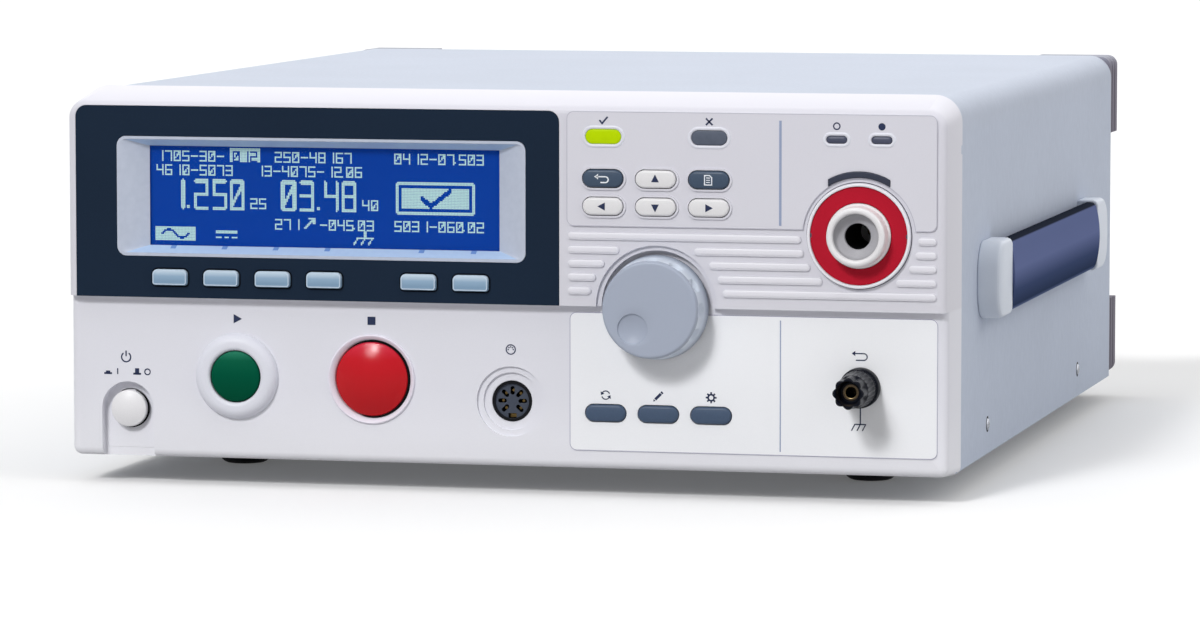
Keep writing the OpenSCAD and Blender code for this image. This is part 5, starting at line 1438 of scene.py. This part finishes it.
@dataclass
class ReturnPost:
    """Binding post: base, clamp washer, lobed cap and hollow stud, with the chassis symbol under it.

    Attributes:
        x: Axis.
        z: Axis.
        reach: How far the cap stands in front of the panel.
        recess: How far the stud's mouth lies behind the cap's front.
        bore: Inner radius of the base, the washer and the cap.
        lobes: Number of lobes on the cap.
        splines: Number of fine splines on its skirt.
        flute: Depth between the lobes.
        spline: Depth between the splines.
        film: Y of the label film's face.
        ink: Width of the symbols' lines.
    """

    x: float = 132.25
    z: float = 31.8
    reach: float = 24.0
    recess: float = 6.0
    bore: float = 3.05
    lobes: int = 8
    splines: int = 24
    flute: float = 0.85
    spline: float = 0.16
    film: float = -0.3
    ink: float = 0.42

    def build(self) -> None:
        """Builds the post and its symbols."""
        bore = self.bore
        base = turned([(bore, 6.0), (6.0, 6.0), (6.0, 3.0), (4.4, 3.0), (4.4, 0.0), (7.2, 0.0), (7.2, -3.3),
                       (7.0, -3.8), (6.6, -4.0), (bore, -4.0)], self.x, self.z, closed=True)
        piece("post_base", base, POST, stands_for=["return_base"])
        washer = turned([(bore, -6.1), (6.3, -6.1), (6.6, -5.8), (6.6, -4.6), (6.3, -4.3), (bore, -4.3)],
                        self.x, self.z, closed=True)
        piece("post_washer", washer, POST, "return_washer", ["return_washer"])
        piece("post_cap", self.cap(), POST, "return_cap", ["return_cap"])
        front = self.recess - self.reach
        stud = turned([(0.0, front + 18), (1.6, front + 18), (2.0, front + 17.6), (2.0, front + 0.5),
                       (2.3, front), (2.8, front), (3.0, front + 0.3), (3.0, 6.0), (5.0, 6.0), (5.0, 9.0),
                       (3.0, 9.0), (3.0, 12.0), (0.0, 12.0)], self.x, self.z)
        piece("post_stud", stud, STUD_PAINTED_SHADE, stands_for=["return_stud"])
        sleeve = turned(arc(2.16, front + 0.12, 0.16, 0, 315, 8), self.x, self.z, closed=True)
        piece("post_sleeve", sleeve, SLEEVE)
        piece("post_symbols", self.symbols(), INK)

    def cap(self) -> Patch:
        """Lobed front, waist and splined skirt as one grid: the radius follows the lobes, then the splines.

        Returns:
            A closed patch.
        """
        angle = np.linspace(0, TAU, 256, endpoint=False)
        lobe = 0.5 + 0.5 * np.cos(self.lobes * angle)
        flute = self.flute * (1 - lobe ** 0.55)
        spline = self.spline * (0.5 + 0.5 * np.cos(self.splines * angle)) ** 2 - self.spline
        front, bore = -self.reach, self.bore
        rows = []
        for y, r, lobed, fine in (
                (front + 7.0, bore, 0, 0), (front + 6.0, bore, 0, 0), (front + 5.9, 3.5, 0, 0),
                (front + 4.6, 4.1, 0, 0), (front + 1.0, 4.4, 0, 0), (front + 0.3, 4.5, 0, 0),
                (front + 0.05, 4.65, 0.2, 0), (front, 4.9, 0.5, 0), (front + 0.15, 5.35, 0.85, 0),
                (front + 0.6, 5.65, 1, 0), (front + 1.2, 5.7, 1, 0), (front + 5.6, 5.7, 1, 0),
                (front + 6.8, 5.75, 0.75, 0), (front + 7.6, 5.85, 0.3, 0), (front + 8.2, 5.95, 0, 0),
                (front + 8.8, 6.05, 0, 1), (front + 16.0, 6.5, 0, 1), (front + 16.6, 6.55, 0, 0),
                (-6.7, 6.6, 0, 0), (-6.45, 6.5, 0, 0), (-6.4, 6.2, 0, 0), (-6.4, bore, 0, 0)):
            radius = r - flute * lobed + spline * fine
            rows.append(np.stack([self.x + radius * np.cos(angle), np.full(angle.shape, y),
                                  self.z + radius * np.sin(angle)], -1))
        return skin(np.stack(rows), wrap=True)

    def symbols(self) -> Patch:
        """Chassis symbol below the post and a returning arrow above it.

        Returns:
            Closed shells as one patch.
        """
        low, high = 18.6, 44.0
        hook = np.concatenate([[(-1.7, 41.6), (1.2, 41.6)], arc(1.2, 42.8, 1.2, -90, 90), [(-2.2, high)]])
        paths = [[(0, 25.0), (0, low)], [(-2.2, low), (2.1, low)]]
        paths += [[(x, low), (x - 1.2, low - 2.3)] for x in (-2.0, 0.0, 1.95)]
        marks = [stroke(path, self.ink, self.film) for path in (*paths, hook)]
        marks.append(filled([(-3.2, high), (-1.9, high + 0.95), (-1.9, high - 0.95)], self.film))
        return joined(marks).moved(self.x, 0, 0)


@dataclass
class PushButtons:
    """Start, stop and power buttons with their rings and symbols, with painted shade crescents beside the
    stop and power buttons.

    Attributes:
        start: Axis of the start button, X and Z.
        stop: Axis of the stop button.
        power: Axis of the power button.
        start_dome: Radius, Y of the rim, rise and edge radius of the start button.
        stop_dome: The same of the stop button.
        power_dome: The same of the power button.
        back: Y of the start and stop buttons' backs.
        power_back: Y of the power button's flange.
        floor: Y of the floor of the buttons' rings.
        ring_back: Y of the rings' backs.
    """

    start: tuple[float, float] = (-99.95, 30.6)
    stop: tuple[float, float] = (-48.85, 30.6)
    power: tuple[float, float] = (-142.05, 17.6)
    start_dome: tuple[float, float, float, float] = (9.25, -2.6, 0.9, 0.5)
    stop_dome: tuple[float, float, float, float] = (13.6, 0.2, 3.2, 0.8)
    power_dome: tuple[float, float, float, float] = (6.8, 0.8, 1.6, 0.6)
    back: float = 14.0
    power_back: float = 7.0
    floor: float = 18.0
    ring_back: float = 19.2

    def build(self) -> None:
        """Builds the buttons, rings, painted shade crescents and symbols."""
        closing = [(0.0, self.floor), (0.0, self.ring_back)]
        collar = np.concatenate([[(10.85, self.ring_back), (10.85, 0.0), (15.7, 0.0)],
                                 arc(12.1, 0.0, 3.6, 0, -90, 12), arc(11.0, -2.2, 1.4, -90, -180, 8),
                                 [(9.65, self.floor)], closing])
        piece("start_collar", turned(collar[::-1], *self.start), WHITE,
              stands_for=["button_rings"])
        bevel = [(15.2, self.ring_back), (15.2, 0.0), (16.45, 0.0), (16.4, -0.5), (16.2, -0.85),
                 (15.9, -0.95), (15.6, -0.8), (14.2, 0.6), (14.0, 1.1), (14.0, self.floor), *closing]
        piece("stop_collar", turned(bevel[::-1], *self.stop), STOP_RING)
        # Painted shade: a dark crescent beside the stop button.
        stop_shade_crescent = self.shade_crescent(*self.stop, 13.66, 1.0, 0.16, 12.0, 118.0)
        piece("stop_shade_crescent", stop_shade_crescent, SHADE_BLACK)
        for name, axis, dome, finish, slot in (("start", self.start, self.start_dome, GREEN_PAINTED_SHEEN, "green_button"),
                                               ("stop", self.stop, self.stop_dome, RED_PAINTED_SHEEN, "red_button")):
            cap = turned(self.dome(*dome, self.back), *axis)
            piece(f"{name}_cap", cap, finish, f"{name}_button", [f"{name}_button"])
        flange = [(6.8, 7.0), (8.0, 7.0), (8.0, 8.0), (STEM_R, 8.0), (STEM_R, 8.9), (0.0, 8.9)]
        power = turned(self.dome(*self.power_dome, self.power_back)[:-1] + flange, *self.power)
        piece("power_cap", power, POWER, "power_button", ["power_button"])
        # Painted shade: a dark crescent beside the power button.
        power_shade_crescent = self.shade_crescent(*self.power, 6.86, 0.6, 2.6, -18.0, 90.0)
        piece("power_shade_crescent", power_shade_crescent, SHADE_BLACK)
        piece("button_symbols", self.symbols(), INK)
        dressed("power_switch", SWITCH)

    @staticmethod
    def dome(r: float, rim: float, rise: float, edge: float, back: float) -> list[tuple[float, float]]:
        """Profile of a domed cap: a shallow sphere, then a rounded edge.

        Args:
            r: Radius.
            rim: Y of the dome's rim.
            rise: Height of the dome.
            edge: Radius of the rounded edge.
            back: Y of the back.

        Returns:
            Profile from the front pole to the back pole.
        """
        ball = (r * r + rise * rise) / (2 * rise)
        cap = [(q, rim - rise + ball - math.sqrt(ball * ball - q * q))
               for q in np.linspace(0, r - edge, 14).tolist()]
        last = cap[-1][1]
        cap += [(r - edge + edge * math.sin(turn), last + edge * (1 - math.cos(turn)) + 0.1 * math.sin(turn))
                for turn in np.radians(np.linspace(15, 75, 5)).tolist()]
        return cap + [(r, last + edge + 0.15), (r, back), (0.0, back)]

    @staticmethod
    def shade_crescent(x: float, z: float, r: float, width: float, y: float, middle: float, half: float) -> Patch:
        """Painted shade beside a button: a dark arc, standing for the shade in the gap, whose width falls off
        by a power of a cosine towards its ends.

        Args:
            x: Button's axis.
            z: Button's axis.
            r: Inner radius.
            width: Greatest width.
            y: Depth of its face.
            middle: Direction of the widest place in degrees.
            half: Degrees from there to each end.

        Returns:
            A closed patch.
        """
        way = np.linspace(middle - half, middle + half, 40)
        ray = arc(0, 0, 1, way[0], way[-1], len(way))
        wide = r + 0.04 + width * np.cos(np.radians((way - middle) / half * 88)) ** 0.7
        loop = np.concatenate([ray * wide[:, None], (ray * r)[::-1]])
        rings = np.stack([np.stack([x + loop[:, 0], np.full(len(loop), depth), z + loop[:, 1]], -1)
                          for depth in (y, y + 0.4)])
        index = np.arange(len(way) - 1)
        last = 2 * len(way) - 1
        front = np.stack([index, index + 1, last - index - 1, last - index], -1)
        sides = skin(rings)
        return Patch(sides.points, [*sides.faces, front, front[:, ::-1] + last + 1])

    def symbols(self) -> Patch:
        """Triangle over start, square over stop, power sign and on and off marks over the power button.

        Returns:
            Closed shells as one patch.
        """
        x = self.power[0] - 0.6
        marks = [filled(np.array([(-1.3, -1.7), (1.9, 0.0), (-1.3, 1.7)]) + (self.start[0], 51.6), 0.0),
                 filled(rounded(3.0, 3.0, 0.15) + (self.stop[0], 51.9), 0.0),
                 stroke(arc(x, 36.6, 1.75, 125, 415, 24), 0.5, 0.0),
                 stroke([(x, 36.9), (x, 39.0)], 0.5, 0.0),
                 stroke([(x - 3.3, 30.2), (x - 3.3, 32.4)], 0.45, 0.0),
                 stroke(circle(1.05) + (x + 8.2, 31.3), 0.45, 0.0, closed=True)]
        for left, w, h, z in ((-7.0, 3.0, 0.7, 30.5), (-7.0, 1.6, 0.7, 31.1), (4.2, 3.0, 0.7, 30.5),
                              (4.2, 1.6, 1.9, 31.6)):
            marks.append(filled(rounded(w, h, 0.1) + (x + left, z), 0.0))
        return joined(marks)


@dataclass
class RemoteSocket:
    """Round control socket in its stepped recess, with its symbol."""

    x: float = 3.45
    caption_z: float = 42.6

    def build(self) -> None:
        """Dresses the socket and its contacts and prints the symbol."""
        refined("remote_socket", INSERT, 0.15)
        refined("remote_contacts", PIN_PAINTED_SHADE)
        marks = [stroke(arc(0, 0, 1.7, 0, 345, 28), 0.42, 0.0, closed=True)]
        marks += [filled(arc(0.95 * math.cos(a), 0.95 * math.sin(a), 0.26, 0, 320, 9), 0.0)
                  for a in np.radians([0, 45, 90, 135, 180]).tolist()]
        piece("remote_symbol", joined(marks).moved(self.x, 0, self.caption_z), INK)


@dataclass
class Relief:
    """Crowns on the bezel's ribs in a painted highlight, and a painted shade line round the raised pad.

    Attributes:
        left: Left end of the control area.
        right: Right end of the control area.
        first: Height of the lowest row of ribs.
        pitch: Spacing of the rows.
        rows: Number of rows.
        rib_h: Height of a crown.
        knob: Centre and clear radius of the knob's arch.
        socket: Centre and clear radius of the high voltage socket.
        pad: Lower and upper edge of the pad, corner radius and radius round the socket.
        pad_face: Y of the pad's face.
        ground: Y of the bezel's upper plane.
        top: Y of the crowns' faces.
    """

    left: float = 25.45
    right: float = 160.25
    first: float = 64.9
    pitch: float = 4.95
    rows: int = 5
    rib_h: float = 2.7
    knob: tuple[float, float, float] = (58.3, 59.2, 24.7)
    socket: tuple[float, float, float] = (132.25, 86.3, 21.1)
    pad: tuple[float, float, float, float] = (88.25, 129.3, 2.5, 20.5)
    pad_face: float = -4.2
    ground: float = -3.6
    top: float = -4.42

    def build(self) -> None:
        """Builds the crowns and the pad's painted shade line."""
        crowns = []
        for start, end, z in self.spans():
            crown = pill(end - start - 0.2, self.rib_h, self.top, self.ground, 0.75, 0.03)
            crowns.append(crown.moved((start + end) / 2, 0, z))
        # Crowns in a lighter finish than the bezel: a painted highlight.
        piece("rib_crowns", joined(crowns), RIB_PAINTED_HIGHLIGHT)
        # Painted shade: a grey line along the pad's edge.
        piece("pad_edge_painted_shade", stroke(self.pad_outline(), 0.26, self.pad_face, HAIR_LIFT, closed=True), PAD_EDGE_SHADE)

    def spans(self) -> list[tuple[float, float, float]]:
        """Start, end and height of each rib: a row crosses the area and stops clear of the round controls.

        Returns:
            One row for each rib.
        """
        found = []
        for z in self.first + self.pitch * np.arange(self.rows):
            gaps = [(x - half, x + half) for x, cz, r in (self.knob, self.socket)
                    for half in [math.sqrt(max(0.0, r * r - (z - cz) ** 2))] if half > 0]
            starts = [self.left] + [gap[1] for gap in gaps]
            ends = [gap[0] for gap in gaps] + [self.right]
            found += [(start, end, z) for start, end in zip(starts, ends) if end - start > self.rib_h]
        return found

    def pad_outline(self) -> np.ndarray:
        """Rounded rectangle whose lower edge passes over the socket in an arc.

        Returns:
            Points (x, z) of a closed line.
        """
        low, high, r, round_r = self.pad
        x, z, _ = self.socket
        dip = math.degrees(math.asin((low - z) / round_r))
        corners = [arc(self.right - r, low + r, r, -90, 0, 8), arc(self.right - r, high - r, r, 0, 90, 8),
                   arc(self.left + r, high - r, r, 90, 180, 8), arc(self.left + r, low + r, r, 180, 270, 8)]
        return np.concatenate([*corners, arc(x, z, round_r, 180 - dip, dip, 40)])


@dataclass
class PanelPrint:
    """Label film with its outline and the divider lines of the control area."""

    left: float = 25.45
    right: float = 160.25
    film_low: float = 6.6
    film_high: float = 56.8
    film: float = -0.3
    pad: float = -4.2

    def build(self) -> None:
        """Dresses the film and prints the lines."""
        refined("label_film", LABEL)
        x, z = (self.left + self.right) / 2, (self.film_low + self.film_high) / 2
        edge = rounded(self.right - self.left - 0.3, self.film_high - self.film_low - 0.3, 2.4) + (x, z)
        outline = stroke(edge, 0.28, self.film, HAIR_LIFT, closed=True)
        piece("film_outline", outline, THIN_INK)
        piece("upper_divider", stroke([(103.7, 89.4), (103.7, 126.9)], 0.9, self.pad), LINE_INK)
        piece("lower_divider", stroke([(103.1, 8.0), (103.1, 55.2)], 0.4, self.film), LINE_INK)


@dataclass
class Strap:
    """Carrying strap: a stiff middle and two end pieces, between two end caps.

    Attributes:
        side: X of the cover's side.
        z: Middle of the strap.
        h: Height of the strap.
        inner: Distance of its inside from the cover.
        reach: Distance of its outside from the cover.
        crown: How far the outside falls back towards its edges.
        ends: Y of the front end, the stiff middle's two ends and the rear end.
    """

    side: float = 164.05
    z: float = 65.75
    h: float = 27.0
    inner: float = 3.2
    reach: float = 9.3
    crown: float = 1.9
    ends: tuple[float, float, float, float] = (86.3, 142.0, 238.0, 293.7)

    def section(self) -> np.ndarray:
        """Outline of the strap, flat inside and bowed outside.

        The bow falls back with the square of the height, and close to the edges with a steep power of it.

        Returns:
            Points (x, z) from the cover's side and the strap's middle.
        """
        z = np.linspace(-1, 1, 33)
        bow = self.reach - self.crown * z ** 2 - 0.9 * np.abs(z) ** 14
        outside = np.stack([bow, z * (self.h / 2 - 0.15)], -1)
        edge = np.array([(self.reach - self.crown - 1.6, self.h / 2), (self.inner + 0.6, self.h / 2)])
        inside = np.array([(self.inner, self.h / 2 - 0.6), (self.inner, 0.6 - self.h / 2)])
        return np.concatenate([outside, edge, inside, edge[::-1] * (1, -1)])

    def length(self, y0: float, y1: float, count: int) -> Patch:
        """Section carried along Y.

        Args:
            y0: Front end.
            y1: Rear end.
            count: Number of rings.

        Returns:
            A closed patch.
        """
        shape = self.section() + (self.side, self.z)
        grid = (count, len(shape))
        y = np.linspace(y0, y1, count)[:, None]
        return capped(np.stack([np.broadcast_to(part, grid) for part in (shape[:, 0], y, shape[:, 1])], -1))

    def build(self) -> None:
        """Builds the strap's three pieces and dresses the caps."""
        y0, y1, y2, y3 = self.ends
        piece("strap_middle", self.length(y1, y2, 25), STRAP_PAINTED_LIGHT, "strap_grip", ["strap_grip"])
        for name, start, end in (("strap_front", y0, y1), ("strap_rear", y3, y2)):
            low, high = sorted((start, end))
            obj = solid(name, self.length(low, high, 41), STRAP_PAINTED_LIGHT)
            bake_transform(obj)
            register(obj, ["strap_ends"])
        refined("strap_caps", STRAP_CAP_PAINTED_SHADE, 0.5)


@dataclass
class Screws:
    """Cross-head screws on both sides and round the fan.

    Attributes:
        side: X of the cover's side.
        y: Places of the side screws.
        z: Height of the side screws.
        rear: Y of the rear panel's face.
        fan: Centre of the fan and half the spacing of its screws.
        scale: Size of a head, 1 for the radius that head draws.
    """

    side: float = 164.05
    y: tuple[float, float] = (82.0, 297.0)
    z: float = 11.0
    rear: float = 380.6
    fan: tuple[float, float, float] = (-105.0, 78.0, 25.0)
    scale: float = 0.8

    def build(self) -> None:
        """Builds all the screws as one piece, and the painted shade rings round those at the sides."""
        head = self.head()
        fx, fz, half = self.fan
        places = self.on_sides(head)
        places += [head.turned_to_back(fx + sx * half, self.rear, fz + sz * half)
                   for sx in (-1, 1) for sz in (-1, 1)]
        piece("cross_screws", joined(places), SCREW, stands_for=["housing_screws"])
        # Painted shade: a dark ring round each side screw's head.
        gap = stroke(circle(2.6, 45), 0.8, 0.0, HAIR_LIFT, closed=True)
        piece("screw_shade_rings", joined(self.on_sides(gap)), SCREW_SHADE)

    def on_sides(self, patch: Patch) -> list[Patch]:
        """The patch at each of the side screws' places."""
        return [patch.turned_to_side(side * self.side, y, self.z, side) for side in (-1, 1) for y in self.y]

    def head(self) -> Patch:
        """Pan head about the Y axis, facing -Y, with its shank behind.

        The face is a dome, and a cross-shaped recess is taken from it: its depth falls off with the distance
        from the nearer of two crossed bars.

        Returns:
            A closed patch.
        """
        angle = np.linspace(0, TAU, 72, endpoint=False)
        head_r, shank_r, shank_end = 2.7, 1.5, 8.0
        bar_l, bar_w, bar_slope, bar_depth = 1.55, 0.34, 0.22, 0.6
        radius = np.concatenate([np.linspace(0.12, 2.2, 18), [2.45, 2.62, head_r]])[:, None]
        x, z = radius * np.cos(angle), radius * np.sin(angle)
        dome = -0.78 + 0.75 * (radius / 2.75) ** 4
        bar = np.minimum(np.maximum(np.abs(x) - bar_l, np.abs(z) - bar_w),
                         np.maximum(np.abs(z) - bar_l, np.abs(x) - bar_w))
        recess = np.clip(-bar / bar_slope, 0, 1) * bar_depth
        face = np.stack([x, np.minimum(dome + recess, -0.02), z], -1)
        rows = [np.stack([r * np.cos(angle), np.full(angle.shape, y), r * np.sin(angle)], -1)
                for r, y in ((head_r, 0.0), (shank_r, 0.0), (shank_r, shank_end))]
        whole = capped(np.concatenate([face, np.stack(rows)]))
        return Patch(whole.points * (self.scale, 1.0, self.scale), whole.faces)


@dataclass
class Housing:
    """Bezel, cover, tray, guards, feet, the rear side and what lies inside."""

    ROUNDED = (("front_bezel", BEZEL_PAINTED_SHADE, 0.35), ("top_cover", PAINT, 0.25), ("chassis_tray", SHEET, 0.2),
               ("rear_panel", REAR_PAINT, 0.15), ("rear_guards", GUARD_PAINTED_LIGHT, 0.5), ("feet", RUBBER, 0.3),
               ("mains_inlet", BLACK, 0.3), ("fuse_drawer", SWITCH, 0.3), ("rear_contacts", STEEL, 0.15),
               ("fan_frame", BLACK, 0.3), ("fan_rotor", BLACK, 0.2))
    INSIDE = (("encoder", SWITCH), ("front_board", BOARD), ("key_switches", SWITCH), ("main_board", BOARD),
              ("transformer_core", CORE), ("transformer_coil", WINDING))

    def build(self) -> None:
        """Dresses the housing's solids with rounded edges and finishes."""
        for node, finish, round_mm in self.ROUNDED:
            refined(node, finish, round_mm)
        for node, finish in self.INSIDE:
            dressed(node, finish)


@dataclass
class Studio:
    """Camera at the photograph's angle, pale floor, soft lamps and world.

    Attributes:
        lens: Focal length in millimetres.
        sensor: Width of the sensor in millimetres.
        place: Camera in panel millimetres.
        yaw: Degrees that the view turns to the left of +Y.
        pitch: Degrees that the view looks down.
        floor_reach: Half width of the floor in metres.
        floor_tone: Share of light that the floor gives back to the tester, and the share that is seen.
        floor_glow: Light of the floor's own when it is seen.
        world_level: Strength of the surroundings as light.
    """

    lens: float = 171.105
    sensor: float = 36.0
    place: tuple[float, float, float] = (518.35, -1988.31, 235.59)
    yaw: float = 13.6185
    pitch: float = 4.9669
    floor_reach: float = 14.0
    floor_tone: tuple[float, float] = (0.5, 0.845)
    floor_glow: float = 0.10
    world_level: float = 0.10
    SUNS = (("key_sun", (-0.24, -0.79, 0.56), 18.0, 0.37), ("spark_sun", (-0.19, -0.78, 0.60), 7.0, 0.24),
            ("top_sun", (0.05, 0.40, 0.92), 120.0, 0.67), ("fill_sun", (0.92, -0.20, 0.34), 60.0, 0.25))

    def build(self) -> None:
        """Builds the camera, the floor, the lamps and the world."""
        self.camera()
        self.floor()
        for name, way, spread, level in self.SUNS:
            self.sun(name, way, spread, level)
        self.world()
        bpy.context.scene.view_settings.view_transform = "Standard"

    def camera(self) -> None:
        """Makes the scene's camera."""
        data = bpy.data.cameras.new("front_camera")
        data.lens = self.lens
        data.sensor_width = self.sensor
        data.clip_end = 100.0
        camera = bpy.data.objects.new("front_camera", data)
        spot = (np.array(self.place) - PANEL_ORIGIN) * MM
        turn = Matrix.Rotation(math.radians(self.yaw), 4, "Z")
        tilt = Matrix.Rotation(math.radians(90 - self.pitch), 4, "X")
        camera.matrix_world = Matrix.Translation(spot.tolist()) @ turn @ tilt
        bpy.context.scene.collection.objects.link(camera)
        bpy.context.scene.camera = camera

    def floor(self) -> None:
        """Makes a wide pale floor that looks white but keeps its shadow, by a little light of its own."""
        mesh = bpy.data.meshes.new("studio_floor")
        reach = self.floor_reach
        corners = [(-reach, -reach, 0), (reach, -reach, 0), (reach, reach, 0), (-reach, reach, 0)]
        mesh.from_pydata(corners, [], [(0, 1, 2, 3)])
        floor = bpy.data.objects.new("studio_floor", mesh)
        material = bpy.data.materials.new("studio_floor")
        material.use_nodes = True
        tree = material.node_tree
        path = tree.nodes.new("ShaderNodeLightPath")
        seen = combined(tree, "MAXIMUM", path.outputs["Is Camera Ray"], path.outputs["Is Glossy Ray"])
        low, high = self.floor_tone
        albedo = add_node(tree, "ShaderNodeMapRange", {"Value": seen, "To Min": low, "To Max": high})
        feed(tree, tree.nodes["Principled BSDF"], {
            "Base Color": albedo.outputs["Result"],
            "Roughness": 0.9,
            "Specular IOR Level": 0.0,
            "Emission Color": SOLID_WHITE,
            "Emission Strength": combined(tree, "MULTIPLY", seen, self.floor_glow),
        })
        mesh.materials.append(material)
        bpy.context.scene.collection.objects.link(floor)

    @staticmethod
    def sun(name: str, way: tuple[float, float, float], spread: float, level: float) -> None:
        """Soft even light from one direction.

        Args:
            name: Name of the lamp.
            way: Direction from the tester to the light.
            spread: Angle in degrees that the light fills.
            level: Share of a white surface's brightness that it gives when it falls straight on.
        """
        data = bpy.data.lights.new(name, "SUN")
        data.energy = level * math.pi
        data.angle = math.radians(spread)
        lamp = bpy.data.objects.new(name, data)
        lamp.rotation_euler = Vector(way).to_track_quat("Z", "Y").to_euler()
        bpy.context.scene.collection.objects.link(lamp)

    def world(self) -> None:
        """Even white surroundings: white to the camera and in reflections, weaker as light."""
        world = bpy.data.worlds.new("studio")
        world.use_nodes = True
        tree = world.node_tree
        path = tree.nodes.new("ShaderNodeLightPath")
        seen = combined(tree, "MAXIMUM", path.outputs["Is Camera Ray"], path.outputs["Is Transmission Ray"])
        bright = combined(tree, "MAXIMUM", seen, path.outputs["Is Glossy Ray"])
        level = add_node(tree, "ShaderNodeMapRange",
                         {"Value": bright, "To Min": self.world_level, "To Max": 1.0})
        feed(tree, tree.nodes["Background"], {"Color": SOLID_WHITE, "Strength": level.outputs["Result"]})
        bpy.context.scene.world = world


def main() -> None:
    """Builds every sub-assembly in order."""
    logging.basicConfig(level=logging.INFO, format="%(name)s %(message)s")
    for assembly in (Studio(), Housing(), Screen(), SoftKeys(), KeyPad(), Lamps(), Knob(),
                     HighVoltageSocket(), ReturnPost(), PushButtons(), RemoteSocket(), Relief(), PanelPrint(),
                     Strap(), Screws()):
        assembly.build()
        LOG.info("%s built", type(assembly).__name__)


if __name__ == "__main__":
    main()
